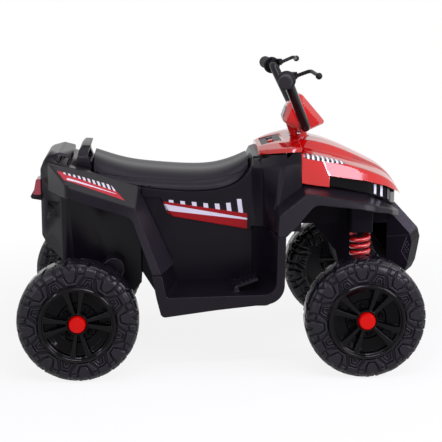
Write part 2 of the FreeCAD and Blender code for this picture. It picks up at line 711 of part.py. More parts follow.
def front_fender():
    """Right front fender: skirt, top and diagonal leg, curving in towards the bumper."""
    near = -FENDER_ROOT_Y
    outer_line = front_fender_outline(False)
    inner_line = front_fender_outline(True)
    outer = bridge(inner_line, on_xz(near), outer_line, on_xz(-RIM_Y))
    steps = [WALL] * 6 + [-20] * 7
    hollow = bridge(inset(inner_line, steps), on_xz(near + 1),
                    inset(outer_line, steps), on_xz(-(RIM_Y - WALL)))
    shell = outer.common(slab(fender_nose_plan(0), 300, 500))
    shell = shell.cut(hollow.common(slab(fender_nose_plan(WALL), 300, 500)))
    cowl_room = block(fx(-300), fx(-147) + SEAM, -(COWL_Y + SEAM), 0, 300, 500)
    return shell.cut(cowl_room)


# Front body

HOOD_STATIONS = (
    (-147.0, (547.0, 78.0, 545.0, 100.0, 531.0, 184.0, 527.0, 204.0, 459.0)),
    (-84.0, (541.0, 76.0, 538.0, 96.0, 519.0, 190.0, 513.0, 205.0, 449.5)),
    (-20.0, (518.0, 70.0, 515.0, 88.0, 501.0, 175.0, 495.0, 198.0, 444.0)),
    (37.0, (490.0, 58.0, 488.0, 74.0, 480.0, 154.0, 474.0, 178.0, 436.0)),
    (84.0, (459.0, 46.0, 457.0, 58.0, 452.0, 121.0, 445.5, 142.0, 420.0)),
    (106.0, (429.0, 36.0, 428.0, 44.0, 425.0, 88.0, 421.0, 106.0, 406.0)),
    (117.0, (412.0, 26.0, 411.4, 32.0, 410.0, 56.0, 407.0, 66.0, 397.0)))
HOOD_EDGE_R = (8.0, 8.0, 8.0)
LAMP_EDGE = ((-80.0, 475.0), (12.0, 459.0), (66.0, 441.0), (100.0, 421.0), (124.0, 400.0))


def hood_section(station, step):
    """Cross section of the hood: raised middle, step, shoulder and side, in Y and Z."""
    ridge, y1, z1, y2, z2, y3, z3, y4, z4 = station
    a, b, c = HOOD_EDGE_R
    right = [(-y4, z4, 0), (-y3, z3, c), (-y2, z2, b), (-y1, z1, a), (0, ridge, 60)]
    whole = right + [(-y, z, r) for y, z, r in right[-2::-1]]
    if step:
        return inset(whole, [step] * 8 + [-30])
    return whole


def hood_loft(step):
    wires = []
    for x, station in HOOD_STATIONS:
        move = step if x == HOOD_STATIONS[-1][0] else (-2 if step and x == HOOD_STATIONS[0][0] else 0)
        wires.append(corner_wire(hood_section(station, step), on_yz(fx(x - move))))
    return Part.makeLoft(wires, True, False)


def dash_section(half, z_mid, z_side, step):
    """Cross section of the dash hump, a raised middle with sloping sides, in Y and Z."""
    right = [(-half - 2, z_side - DASH_SKIRT, 0), (-half, z_side, 5), (-half * 0.62, z_mid - 2, 10)]
    outline = right + [(-y, z, r) for y, z, r in right[::-1]]
    if step:
        return inset(outline, [step] * 5 + [-20])
    return outline


def dash_loft(step):
    wires = []
    stations = ((-244.0 + step, 96, 529, 522), (-200.0, 146, 542, 533), (-146.0, 182, 549, 541))
    for x, half, z_mid, z_side in stations:
        wires.append(corner_wire(dash_section(half, z_mid, z_side, step), on_yz(fx(x))))
    return Part.makeLoft(wires, True, False)


def hood():
    """Red hood with its dash hump, the throat for the stem and the lamp cut-out below."""
    shell = fused([hood_loft(0), dash_loft(0)]).cut([hood_loft(WALL), dash_loft(WALL)])
    edge = [(fx(x), z, 0) for x, z in LAMP_EDGE]
    lamp_gap = prism([(fx(-84), 380, 0)] + edge + [(fx(140), 396, 0), (fx(140), 380, 0)], -300, 300)
    throat = rod(stem_point(-60), STEM_DIR, 100, NECK_R + 3)
    button_hole = rod(dash_point(DASH_L / 2, BUTTON_Y, -20), DASH_UP, 60, BUTTON_R + SWING)
    pocket = dash_box(DASH_L + 2 * SEAM, DASH_W, 0, -POCKET_DEPTH, 12)
    return shell.cut([lamp_gap, throat, pocket, button_hole, rocker_gap()])


DASH_SKIRT = 10.0
DASH_L = 50.0
DASH_W = 118.0
DASH_T = 3.0
POCKET_DEPTH = 1.5
DASH_START = V(fx(-233), 0, 527.5)
DASH_ALONG = V(56, 0, 16.5).normalize()
DASH_UP = V(-DASH_ALONG.z, 0, DASH_ALONG.x)
BUTTON_R = 8.0
BUTTON_Y = -30.0
BUTTON_L = 12.0
ROCKER_Y = 28.0
ROCKER_L = 14.0
ROCKER_W = 22.0
ROCKER_ROOM = 0.9
ROCKER_PIN_R = 0.8
ROCKER_PIN_UP = (SEAM + DASH_T) / 2 - POCKET_DEPTH


def dash_point(along, y, up):
    """Place on the dash slope: along it from its rear edge, across, and above it."""
    return DASH_START + DASH_ALONG * along + V(0, y, 0) + DASH_UP * up


def dash_box(length, width, along, low, high):
    """Box lying on the dash slope from along forward, between two heights above it."""
    box = Part.makeBox(length, width, high - low)
    slope = FreeCAD.Rotation(V(1, 0, 0), DASH_ALONG)
    box.Placement = FreeCAD.Placement(dash_point(along, -width / 2, low), slope)
    return box


def rocker_gap():
    start = DASH_L / 2 - ROCKER_L / 2 - ROCKER_ROOM
    gap = dash_box(ROCKER_L + 2 * ROCKER_ROOM, ROCKER_W + 2 * SEAM, start, -20, 30)
    gap.translate(V(0, ROCKER_Y, 0))
    return gap


def rocker_axle(reach, radius):
    """Pin across the dash slope that the rocker tilts on."""
    middle = dash_point(DASH_L / 2, ROCKER_Y, ROCKER_PIN_UP)
    return rod(middle - V(0, reach, 0), V(0, 1, 0), 2 * reach, radius)


def dash_plate():
    """Dash plate with the holes for the button and the rocker."""
    plate = dash_box(DASH_L, DASH_W - 2 * SEAM, SEAM, SEAM - POCKET_DEPTH, DASH_T - POCKET_DEPTH)
    hole = rod(dash_point(DASH_L / 2, BUTTON_Y, -20), DASH_UP, 60, BUTTON_R + SWING)
    pivot = rocker_axle(ROCKER_W / 2 + 4, ROCKER_PIN_R + FIT)
    return plate.cut([hole, rocker_gap(), pivot])


def power_button():
    base = dash_point(DASH_L / 2, BUTTON_Y, DASH_T + 2.5 - BUTTON_L)
    return turned([(0, 0, 0), (BUTTON_R, 0, 0), (BUTTON_R, BUTTON_L, 1.5), (0, BUTTON_L, 0)], base, DASH_UP)


def direction_rocker():
    """Forward and reverse rocker, two slopes meeting in the middle."""
    half = ROCKER_L / 2
    side = [(-half, -4), (half, -4), (half, 5), (0, 2.5), (-half, 5)]
    points = []
    for along, up in side:
        points.append(dash_point(DASH_L / 2 + along, ROCKER_Y - ROCKER_W / 2, up))
    tilt = Part.Face(Part.makePolygon(points + points[:1])).extrude(V(0, ROCKER_W, 0))
    return fused([tilt, rocker_axle(ROCKER_W / 2 + 3, ROCKER_PIN_R)])


def headlamp_outline(step):
    return half_plan([(fx(-79), -(193 - step), 0), (fx(14), -(172 - step), 60), (fx(80), -(120 - step), 40),
                      (fx(101) - step, -(67 - step * 0.6), 30), (fx(109) - step, -(28 - step * 0.4), 20)])


def headlamp_room(rise, drop):
    """Space between the fender's top and the hood's edge, cut back by rise below and drop above."""
    low = SEAM + 2 + rise
    floor = [(-95, 452), (-76, 447), (16, 425), (60, 404), (84, 391), (100, 381), (116, 376), (130, 372)]
    line = [(fx(x), z + low, 0) for x, z in floor] + [(fx(x), z - drop, 0) for x, z in LAMP_EDGE[::-1]]
    return prism(line, -300, 300)


def headlamp_panel():
    """Gloss band between the fenders and the hood's edge that carries the light guides."""
    inner = headlamp_outline(WALL)
    inner = [(x - 30 if x < fx(-70) else x, y, r) for x, y, r in inner]
    band = slab(headlamp_outline(0.6), 380, 480).cut(slab(inner, 370, 500))
    reach = CARRIER_Y + SEAM
    carrier_corner = block(fx(-200), fx(CARRIER_FRONT) + SEAM, -reach, reach, TOWER_Z, TOWER_TOP_Z + SEAM)
    return band.common(headlamp_room(0, -LAMP_TUCK)).cut(carrier_corner)


def headlamp_lenses():
    """Upright light guides on both front corners of the panel."""
    skin = slab(headlamp_outline(-1.4), 380, 480).cut(slab(headlamp_outline(0.2), 370, 500))
    skin = skin.common(headlamp_room(5, 4))
    guides = []
    for start in LENS_STARTS:
        strip = skin.common(block(fx(start), fx(start + LENS_W), -260, 260, 300, 500))
        guides += strip.Solids
    return Part.makeCompound(guides)


LENS_STARTS = (34.0, 52.0, 72.0)
LENS_W = 7.0
LAMP_TUCK = 2.0


# Front frame, bumper

def front_carrier():
    """Front frame: box under the hood, hanging plate, strut towers with their bores."""
    front = fx(CARRIER_FRONT)
    box = block(fx(-150), front, -CARRIER_Y, CARRIER_Y, 346, TOWER_TOP_Z)
    inside = CARRIER_Y - WALL
    box = box.cut(block(fx(-150) - 1, front - WALL, -inside, inside, 346 + WALL, TOWER_TOP_Z + 1))
    keel_z = 216.0
    keel = prism([(fx(-119), 352, 0), (fx(-49), 268, 8), (fx(-36), keel_z, 6), (fx(28), keel_z, 6),
                  (fx(28), 352, 0)], -96, 96)
    keel = keel.cut(prism([(fx(-105), 360, 0), (fx(-43), 272, 6), (fx(-30), keel_z + 4, 4),
                           (fx(24), keel_z + 4, 4), (fx(24), 360, 0)], -92, 92))
    pieces = [box, keel]
    side = KINGPIN_Y + 24
    for s in (-1, 1):
        middle = s * (126 + side) / 2
        half = (side - 126) / 2
        tower = block(fx(-28), fx(28), middle - half, middle + half, TOWER_Z, TOWER_TOP_Z)
        edges = [e for e in tower.Edges if abs(e.CenterOfMass.y - s * side) < 0.1 and e.Length > 60]
        pieces.append(tower.makeFillet(8, edges))
    boss = rod(stem_point(-330), STEM_DIR, 195, 19)
    pieces.append(boss.common(block(fx(-150), fx(72), -90, 90, 218, TOWER_TOP_Z)))
    under_hood = hood_loft(WALL + SEAM)
    for s in (-1, 1):
        post = rod(V(fx(HOOD_POST[0]), s * HOOD_POST[1], 347), V(0, 0, 1), 200, HOOD_POST_R)
        pieces.append(post.common(fused([under_hood, block(fx(-150), front, -CARRIER_Y, CARRIER_Y, 340, 440)])))
    frame = fused(pieces)
    bores = [rod(V(FRONT_X, s * KINGPIN_Y, 300), V(0, 0, 1), 200, STRUT_R + FIT) for s in (-1, 1)]
    bores.append(rod(stem_point(-500), STEM_DIR, 520, BUSH_R + FIT))
    return frame.cut(bores)


BUSH_R = 12.0


def steering_bush():
    """Plastic sleeve that the column turns in, with a flange on top of the frame's boss."""
    return turned([(STEM_R + FIT, 0, 0), (BUSH_R, 0, 0), (BUSH_R, 120, 0), (STEM_R + FIT, 120, 0)],
                  stem_point(-310), STEM_DIR)


def bumper_outline(back):
    """Side outline of the bumper, its front edge moved back by the given distance."""
    return [(fx(73), 386, 0), (nx(66 + back), 374, 10), (nx(44 + back), 350, 14), (nx(14 + back), 317, 14),
            (nx(8 + back), 294, 10), (nx(18 + back), 236, 10), (nx(28 + back), 212, 8), (fx(86), 216, 10),
            (fx(73), 258, 12)]


def front_bumper():
    """Bumper with a slotted face, its sides swept back, hollow behind."""
    middle = 52.0
    side = 124.0
    nose = [(x + (8 if x > fx(90) else 0), z, r) for x, z, r in bumper_outline(0)]
    core = prism(nose, -middle, middle)
    wing = bridge(nose, on_xz(-middle), bumper_outline(26), on_xz(-side))
    shell = fused([core, wing, mirrored(wing)])
    steps = [4.0] * 8 + [-20.0]
    core_in = prism(inset(nose, steps), -middle, middle)
    wing_in = bridge(inset(nose, steps), on_xz(-middle),
                     inset(bumper_outline(26), steps), on_xz(-(side - 4)))
    shell = shell.cut([core_in, wing_in, mirrored(wing_in)])
    slots = []
    for row in range(4):
        z = 232 + 18 * row
        for k in range(-2, 3):
            hexagon = []
            for c in range(6):
                a = math.radians(60 * c + 30)
                hexagon.append(V(0, k * 20 + (row % 2) * 10 - 5 + 8 * math.cos(a), z + 8 * math.sin(a)))
            face = Part.Face(Part.makePolygon(hexagon + hexagon[:1]))
            face.translate(V(nx(60), 0, 0))
            slots.append(face.extrude(V(80, 0, 0)))
    return shell.cut(slots)


# Seat, handle, lamps

SEAT_STATIONS = (
    (rx(34), 104.0, 510.0), (rx(60), 116.0, 500.0), (rx(110), 122.0, 485.0), (rx(190), 123.0, 474.0),
    (rx(266), 122.0, 469.0), (fx(-345), 118.0, 473.0), (fx(-295), 104.0, 489.0), (fx(-268), 88.0, 503.0))
SEAT_LOW_Z = 420.0


def seat():
    """Seat with a crowned top, drawn-in sides and raised ends, sitting on the seat line."""
    wires = []
    for x, half, top in SEAT_STATIONS:
        right = [V(x, -half, SEAT_LOW_Z), V(x, -half + 1, top - 36), V(x, -half * 0.78, top - 10)]
        points = right + [V(x, 0, top)] + [V(x, -p.y, p.z) for p in right[::-1]]
        curve = Part.BSplineCurve()
        curve.interpolate(points)
        base = Part.LineSegment(points[-1], points[0])
        wires.append(Part.Wire([curve.toShape(), base.toShape()]))
    cushion = Part.makeLoft(wires, True, False)
    under = below_seat(0, 300, 300)
    return cushion.cut(under).cut(block(rx(-20), rx(31), -200, 200, 300, 600))


def grab_handle():
    """Arched handle behind the seat, curling forward, with a hand hole."""
    side = [(rx(-8), 474, 0), (rx(-7), 500, 20), (rx(-2), 524, 16), (rx(8), 535, 8), (rx(28), 534, 3),
            (rx(20), 520, 10), (rx(20), 506, 12), (rx(31), 478, 0), (rx(31), 466, 0)]
    arch = prism(side, -92, 92)
    frame = [(-92, 460, 0), (-92, 508, 34), (-62, 540, 30), (62, 540, 30), (92, 508, 34), (92, 460, 0)]
    face = Part.Face(corner_wire(frame, on_yz(rx(-40))))
    hole = [(-62, 490, 6), (-58, 512, 10), (58, 512, 10), (62, 490, 6)]
    window = Part.Face(corner_wire(hole, on_yz(rx(-40)))).extrude(V(90, 0, 0))
    handle = arch.common(face.extrude(V(90, 0, 0))).cut(window)
    foot = prism(rear_box_side(0), -300, 300)
    return handle.cut(foot).cut(block(rx(30), rx(80), -200, 200, 400, 600))


def tail_lamp():
    """Right tail lamp: a raked lens on the back of the rear box, above the lip."""
    side = [(rx(-95) - SEAM, TAIL_Z + SEAM, 0), (rx(-115), TAIL_Z + SEAM, 3), (rx(-107), TAIL_Z + LAMP_H, 5),
            (rx(-95) - SEAM, TAIL_Z + LAMP_H, 0)]
    return prism(side, -101, -52)


def under_tray():
    """Flat tray that closes the tunnel from below and carries the battery."""
    low = BODY_FLOOR_Z - SEAM - TRAY_T
    edge = -(TUNNEL_Y - 1)
    plate = slab(half_plan([(rx(TRAY_REAR) + 2, edge, 8), (fx(TUNNEL_FRONT) - 1, edge, 16)]), low, low + TRAY_T)
    x = BATTERY[0] / 2
    y = BATTERY[1] / 2
    cradle = block(BATTERY_X - x - 4, BATTERY_X + x + 4, -y - 4, y + 4, low + TRAY_T - 1, low + TRAY_T + 18)
    cradle = cradle.cut(block(BATTERY_X - x - SEAM, BATTERY_X + x + SEAM, -y - SEAM, y + SEAM,
                              low + TRAY_T, low + 60))
    return fused([plate, cradle])


BATTERY_X = REAR_X + 300.0
TRAY_TOP_Z = BODY_FLOOR_Z - SEAM


def battery():
    """Sealed battery with its two terminals, standing in the tray's cradle."""
    x, y, z = BATTERY
    case = block(BATTERY_X - x / 2, BATTERY_X + x / 2, -y / 2, y / 2, TRAY_TOP_Z, TRAY_TOP_Z + z)
    case = case.makeFillet(3, [e for e in case.Edges if e.BoundBox.ZLength > z - 1])
    top = TRAY_TOP_Z + z
    end = BATTERY_X + x / 2
    tags = [block(end - 14, end - 6, s * 22 - 3, s * 22 + 3, top - 1, top + 6) for s in (-1, 1)]
    return fused([case] + tags)


def control_box():
    """Receiver and speed control in a small case on the tray."""
    x = fx(TUNNEL_FRONT) - 83
    case = block(x, x + 46, -36, 36, TRAY_TOP_Z, TRAY_TOP_Z + 24)
    case = case.makeFillet(3, [e for e in case.Edges if e.BoundBox.ZLength > 20])
    socket = block(x + 45, x + 54, -20, 20, TRAY_TOP_Z + 6, TRAY_TOP_Z + 18)
    return fused([case, socket])


# Front suspension

SLEEVE_LOW = 33.0
SLEEVE_HIGH = 48.0
ARM_LOW = 36.0
ARM_T = 6.0
DAMPER_R = 14.5
DAMPER_TOP_Z = TOWER_Z - TRAVEL - 3


def strut():
    """Right strut: sliding rod with its spring seat above and a nut below the knuckle."""
    at = V(FRONT_X, -KINGPIN_Y, 0)
    low = AXLE_Z - SLEEVE_LOW - 10
    top = TOWER_TOP_Z - 6
    return turned([
        (0, low, 0), (STRUT_R + 4, low, 1), (STRUT_R + 4, low + 10 - SEAM, 1), (STRUT_R, low + 10 - SEAM, 0),
        (STRUT_R, SPRING_SEAT_Z - SEAM, 0), (STRUT_R + 5, SPRING_SEAT_Z - SEAM, 0),
        (SPRING_SEAT_R, SPRING_SEAT_Z + 2, 2),
        (SPRING_SEAT_R, SPRING_SEAT_Z + SPRING_SEAT_T, 1), (DAMPER_R, SPRING_SEAT_Z + SPRING_SEAT_T, 0),
        (DAMPER_R, DAMPER_TOP_Z, 2), (STRUT_R, DAMPER_TOP_Z, 0), (STRUT_R, top, 1), (0, top, 0)],
        at, V(0, 0, 1))


def knuckle():
    """Right knuckle: sleeve on the strut, stub axle, steering arm with its eye."""
    low = AXLE_Z - SLEEVE_LOW
    high = AXLE_Z + SLEEVE_HIGH
    at = V(FRONT_X, -KINGPIN_Y, low)
    sleeve = rod(at, V(0, 0, 1), high - low, 13)
    shoulder_end = WHEEL_Y - HALF_W + 1 - SEAM
    shoulder = rod(V(FRONT_X, -KINGPIN_Y, AXLE_Z), V(0, -1, 0), shoulder_end - KINGPIN_Y, 11)
    axle = rod(V(FRONT_X, -KINGPIN_Y, AXLE_Z), V(0, -1, 0), AXLE_END_Y - KINGPIN_Y, AXLE_R)
    z0 = AXLE_Z + ARM_LOW
    arm = slab([(FRONT_X, -KINGPIN_Y - 10, 0), (FRONT_X, -KINGPIN_Y + 10, 0), (TIE_X, -KINGPIN_Y + 8, 0),
                (TIE_X, -KINGPIN_Y - 8, 0)], z0, z0 + ARM_T)
    eye = rod(V(TIE_X, -KINGPIN_Y, z0), V(0, 0, 1), ARM_T, 9)
    solid = fused([sleeve, shoulder, axle, arm, eye])
    bore = rod(V(FRONT_X, -KINGPIN_Y, low - 10), V(0, 0, 1), 150, STRUT_R + FIT)
    pin = rod(V(TIE_X, -KINGPIN_Y, z0 - 5), V(0, 0, 1), 20, PIN_R + SWING)
    return solid.cut([bore, pin])


def tie_rod():
    """Tie rod with upturned ends in the knuckle arms and a boss for the crank pin."""
    top = AXLE_Z + ARM_LOW + ARM_T + TRAVEL + 8
    right = [V(TIE_X, -KINGPIN_Y, top), V(TIE_X, -KINGPIN_Y, TIE_Z)]
    ends = right + [V(p.x, -p.y, p.z) for p in right[::-1]]
    bar = bent_rod(ends, 7, PIN_R)
    centre = V(TIE_X, 0, TIE_Z)
    boss = rod(centre - STEM_DIR * 9, STEM_DIR, 18, 10)
    hole = rod(centre - STEM_DIR * 30, STEM_DIR, 60, PIN_R + FIT)
    return fused([bar, boss]).cut(hole)


def steering_column():
    """Steel column with its crank arm and pin at the bottom, a flat-topped upper end."""
    foot_along = (V(TIE_X, 0, TIE_Z) - V(STEM_X, 0, STEM_Z)).dot(STEM_DIR)
    arm_along = foot_along + 9 + SEAM
    shaft = rod(stem_point(arm_along), STEM_DIR, 60 - arm_along, STEM_R)
    arm = [rod(stem_point(arm_along), STEM_DIR, 7, 10), rod(stem_point(arm_along, -STEER_ARM), STEM_DIR, 7, 9)]
    web = Part.Face(Part.makePolygon([
        stem_point(arm_along, 0, -8), stem_point(arm_along, 0, 8), stem_point(arm_along, -STEER_ARM, 8),
        stem_point(arm_along, -STEER_ARM, -8), stem_point(arm_along, 0, -8)])).extrude(STEM_DIR * 7)
    pin = rod(stem_point(foot_along - 14, -STEER_ARM), STEM_DIR, arm_along + 7 - foot_along + 14, PIN_R)
    collar = tube(stem_point(-190 + SEAM), STEM_DIR, 8, 11, STEM_R - 1)
    bolt = rod(stem_point(BOLT_ALONG, 0, -20), V(0, 1, 0), 40, BOLT_R + FIT)
    return fused([shaft, web, pin, collar] + arm).cut(bolt)


def biarc(p, along_p, q, along_q):
    """Two tangent arcs from p to q that keep both directions."""
    gap = q - p
    total = along_p + along_q
    a = total.dot(total) - 4
    b = -2 * gap.dot(total)
    c = gap.dot(gap)
    d = (-b - math.sqrt(b * b - 4 * a * c)) / (2 * a)
    first = p + along_p * d
    second = q - along_q * d
    joint = (first + second) * 0.5
    arcs = []
    for start, knee, end in ((p, first, joint), (joint, second, q)):
        middle = (start + end) * 0.5
        half = (end - start).Length / 2
        rise = (knee - middle).Length
        bulge = half * math.tan(math.atan2(rise, half) / 2)
        arcs.append(Part.Arc(start, middle + (knee - middle).normalize() * bulge, end).toShape())
    return arcs


SPRING_LOW = SPRING_SEAT_Z + SPRING_SEAT_T + SPRING_WIRE_R + SEAM
SPRING_HIGH = TOWER_Z - SPRING_WIRE_R - SEAM


def spring():
    """Right coil spring: one tube on a helix about the strut, in quarter-turn biarcs."""
    count = int(SPRING_TURNS * 4)
    pitch = (SPRING_HIGH - SPRING_LOW) / SPRING_TURNS
    slope = pitch / (2 * math.pi)

    def place(k):
        a = math.pi / 2 * k
        across = V(math.cos(a), math.sin(a), 0) * SPRING_R
        return V(FRONT_X, -KINGPIN_Y, SPRING_LOW + slope * a) + across

    def heading(k):
        a = math.pi / 2 * k
        return V(-SPRING_R * math.sin(a), SPRING_R * math.cos(a), slope).normalize()

    edges = []
    for k in range(count):
        edges += biarc(place(k), heading(k), place(k + 1), heading(k + 1))
    circle = Part.Wire([Part.Circle(place(0), heading(0), SPRING_WIRE_R).toShape()])
    gap = pitch * math.cos(math.atan2(slope, SPRING_R)) - 2 * SPRING_WIRE_R
    middle = [edge.valueAt(edge.FirstParameter) for edge in edges]
    near = min((p - q).Length for i, p in enumerate(middle) for q in middle[i + 5:])
    print("spring least gap to itself, mm:", round(min(gap, near - 2 * SPRING_WIRE_R), 2))
    return Part.Wire(edges).makePipeShell([circle], True, False)


# Handlebar

BAR_X = STEM_X + 10.0
BAR_CORNER = V(FRONT_X - 184.0, -186.0, 706.0)
BAR_KNEE_Y = 80.0
BAR_END = V(FRONT_X - 199.0, -296.0, 708.0)
GRIP_L = 88.0


def handlebar():
    """Bent tube: cross piece in the clamp, two rising arms, two swept ends."""
    right = [BAR_END, BAR_CORNER, V(BAR_X, -BAR_KNEE_Y, BAR_Z)]
    left = [V(p.x, -p.y, p.z) for p in right[::-1]]
    return bent_rod(right + left, 22, BAR_R)


GRIP_DIR = (BAR_CORNER - BAR_END).normalize()


def grip():
    """Right rubber grip with ribs, flange and closed end, pushed over the bar."""
    r = GRIP_R
    outline = [(0, -3, 0), (r - 2, -3, 2), (r, 2, 1)]
    for k in range(5):
        s = 14 + 14 * k
        outline += [(r, s, 0), (r - 1.5, s + 2, 0), (r - 1.5, s + 5, 0), (r, s + 7, 0)]
    outline += [(r, GRIP_L - 6, 2), (FLANGE_R, GRIP_L - 5, 1.5), (FLANGE_R, GRIP_L, 1.5),
                (BAR_R + FIT, GRIP_L, 0), (BAR_R + FIT, -FIT, 0), (0, -FIT, 0)]
    return turned(outline, BAR_END, GRIP_DIR)


LEVER_AT = V(FRONT_X - 165.0, -199.0, 716.0)
PIVOT_R = 3.0
LEVER_T = 10.0


def bar_place(y):
    """Place on the right grip's axis at the given y."""
    return BAR_END + GRIP_DIR * ((y - BAR_END.y) / GRIP_DIR.y)


def lever_perch():
    """Right lever perch: clamp on the bar and two cheeks with the pivot pin."""
    at = bar_place(-204.0)
    ring = rod(at - GRIP_DIR * 3.5, GRIP_DIR, 9, BAR_R + 2)
    cheeks = []
    for z in (-LEVER_T / 2 - 3 - SEAM, LEVER_T / 2 + SEAM):
        tip = LEVER_AT + V(0.5, 0, 0)
        outline = [(at.x - 2, at.y - 3, 0), (tip.x, tip.y - 7, 5), (tip.x + 4, tip.y, 5), (tip.x, tip.y + 7, 5),
                   (at.x - 2, at.y + 5, 0)]
        cheeks.append(slab(outline, LEVER_AT.z + z, LEVER_AT.z + z + 3))
    pin = rod(LEVER_AT - V(0, 0, LEVER_T / 2 + 3), V(0, 0, 1), LEVER_T + 6, PIVOT_R)
    rise = LEVER_T / 2 + 3
    post = block(at.x - 2, at.x + 10, at.y - 3, at.y + 5, LEVER_AT.z - rise, LEVER_AT.z + rise)
    hole = rod(at - GRIP_DIR * 20, GRIP_DIR, 40, BAR_R + FIT)
    return fused([ring, post, pin] + cheeks).cut(hole)


def lever():
    """Right brake lever: eye on the pivot, curved blade, ball end."""
    tip = LEVER_AT + V(48, -62, 4)
    blade = bent_rod([LEVER_AT + V(4, -1, 0), LEVER_AT + V(34, -10, 12), tip], 16, LEVER_R)
    eye = rod(LEVER_AT - V(0, 0, LEVER_T / 2), V(0, 0, 1), LEVER_T, 7)
    ball = Part.makeSphere(8, tip)
    hole = rod(LEVER_AT - V(0, 0, 20), V(0, 0, 1), 40, PIVOT_R + FIT)
    return fused([blade, eye, ball]).cut(hole)


def steering_cowl():
    """Red cowl on the handlebar: faceted head, neck round the stem, bored for bar and column."""
    head = [(STEM_X - 30, 628, 8), (STEM_X + 3, 656, 10), (STEM_X + 66, 582, 8), (STEM_X + 22, 562, 8),
            (STEM_X - 8, 560, 8), (STEM_X - 44, 588, 8)]
    cheek = [(STEM_X - 24, 618, 6), (STEM_X + 0, 640, 6), (STEM_X + 48, 584, 6), (STEM_X + 22, 570, 6),
             (STEM_X - 4, 568, 6), (STEM_X - 36, 590, 6)]
    half = fused([prism(head, -26, 0), bridge(head, on_xz(-26), cheek, on_xz(-56))])
    neck = rod(stem_point(-12), STEM_DIR, 60, NECK_R)
    whole = fused([half, mirrored(half), neck])
    column = rod(stem_point(-60), STEM_DIR, 121, STEM_R + FIT)
    bar = rod(V(BAR_X, -100, BAR_Z), V(0, 1, 0), 200, BAR_R + FIT)
    bolt = rod(stem_point(BOLT_ALONG, 0, -60), V(0, 1, 0), 120, BOLT_R + FIT)
    return whole.cut([column, bar, bolt])


def stem_bolt():
    """Through bolt that holds the cowl's neck to the column, with its nut."""
    reach = NECK_R + 4
    shaft = rod(stem_point(BOLT_ALONG, 0, -reach), V(0, 1, 0), 2 * reach, BOLT_R)
    head = rod(stem_point(BOLT_ALONG, 0, -reach), V(0, 1, 0), 4 - SEAM, BOLT_HEAD_R)
    nut = rod(stem_point(BOLT_ALONG, 0, NECK_R + SEAM), V(0, 1, 0), 4 - SEAM, BOLT_HEAD_R)
    return fused([shaft, head, nut])


def cowl_plate():
    """Grey face plate on the rider's side of the cowl."""
    a = V(STEM_X - 44, 0, 588)
    b = V(STEM_X - 30, 0, 628)
    out = V(-(b - a).z, 0, (b - a).x).normalize()
    along = (b - a).normalize()
    foot = a + along * 7 + out * SEAM
    head = foot + along * 28
    outline = [foot + V(0, -24, 0), foot + V(0, 24, 0), head + V(0, 20, 0), head + V(0, -20, 0)]
    return Part.Face(Part.makePolygon(outline + outline[:1])).extrude(out * 2)


NODES = {}


def add(name, shape):
    NODES[name] = shape


def both(name, shape):
    """A piece of the right side and its twin on the left."""
    NODES["right_" + name] = shape
    NODES["left_" + name] = mirrored(shape)


def pair(name, shape):
    """Two alike pieces of one body in one node."""
    NODES[name] = Part.makeCompound([shape, mirrored(shape)])


cover = wheel_cover()
cap = hub_cap()
both("front_wheel", placed_wheel(wheel_moulding(False), FRONT_X, FRONT_WHEEL_TURN))
both("rear_wheel", placed_wheel(wheel_moulding(True), REAR_X, 0))
both("front_wheel_cover", placed_wheel(cover, FRONT_X, FRONT_WHEEL_TURN))
both("rear_wheel_cover", placed_wheel(cover, REAR_X, 0))
both("front_hub_cap", placed_wheel(cap, FRONT_X, 0))
both("rear_hub_cap", placed_wheel(cap, REAR_X, 0))
both("front_axle_nut", axle_nut(FRONT_X))
pair("rear_axle_nuts", axle_nut(REAR_X))
add("rear_axle", rod(V(REAR_X, -AXLE_END_Y, AXLE_Z), V(0, 1, 0), 2 * AXLE_END_Y, AXLE_R))
both("gearbox", gearbox())
pair("motors", motor())
add("center_body", center_body())
add("rear_body", rear_body())
both("rear_fender", rear_fender())
board = footboard()
add("right_footboard", fused([board, pedal_lugs()]))
add("left_footboard", mirrored(board))
both("front_fender", front_fender())
add("hood", hood())
add("headlamp_panel", headlamp_panel())
add("front_carrier", front_carrier())
add("steering_bush", steering_bush())
add("front_bumper", front_bumper())
add("seat", seat())
add("grab_handle", grab_handle())
pair("tail_lamps", tail_lamp())
add("under_tray", under_tray())
add("battery", battery())
add("control_box", control_box())
both("strut", strut())
both("knuckle", knuckle())
both("spring", spring())
add("tie_rod", tie_rod())
add("steering_column", steering_column())
add("handlebar", handlebar())
both("grip", grip())
pair("lever_perches", lever_perch())
both("lever", lever())
add("steering_cowl", steering_cowl())
add("stem_bolt", stem_bolt())
add("cowl_plate", cowl_plate())
add("dash_plate", dash_plate())
add("power_button", power_button())
add("direction_rocker", direction_rocker())
add("headlamp_lenses", headlamp_lenses())
add("foot_pedal", foot_pedal())

for name, shape in NODES.items():
    shape.exportStep("parts/" + name + ".step")
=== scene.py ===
import json
import math
from functools import reduce

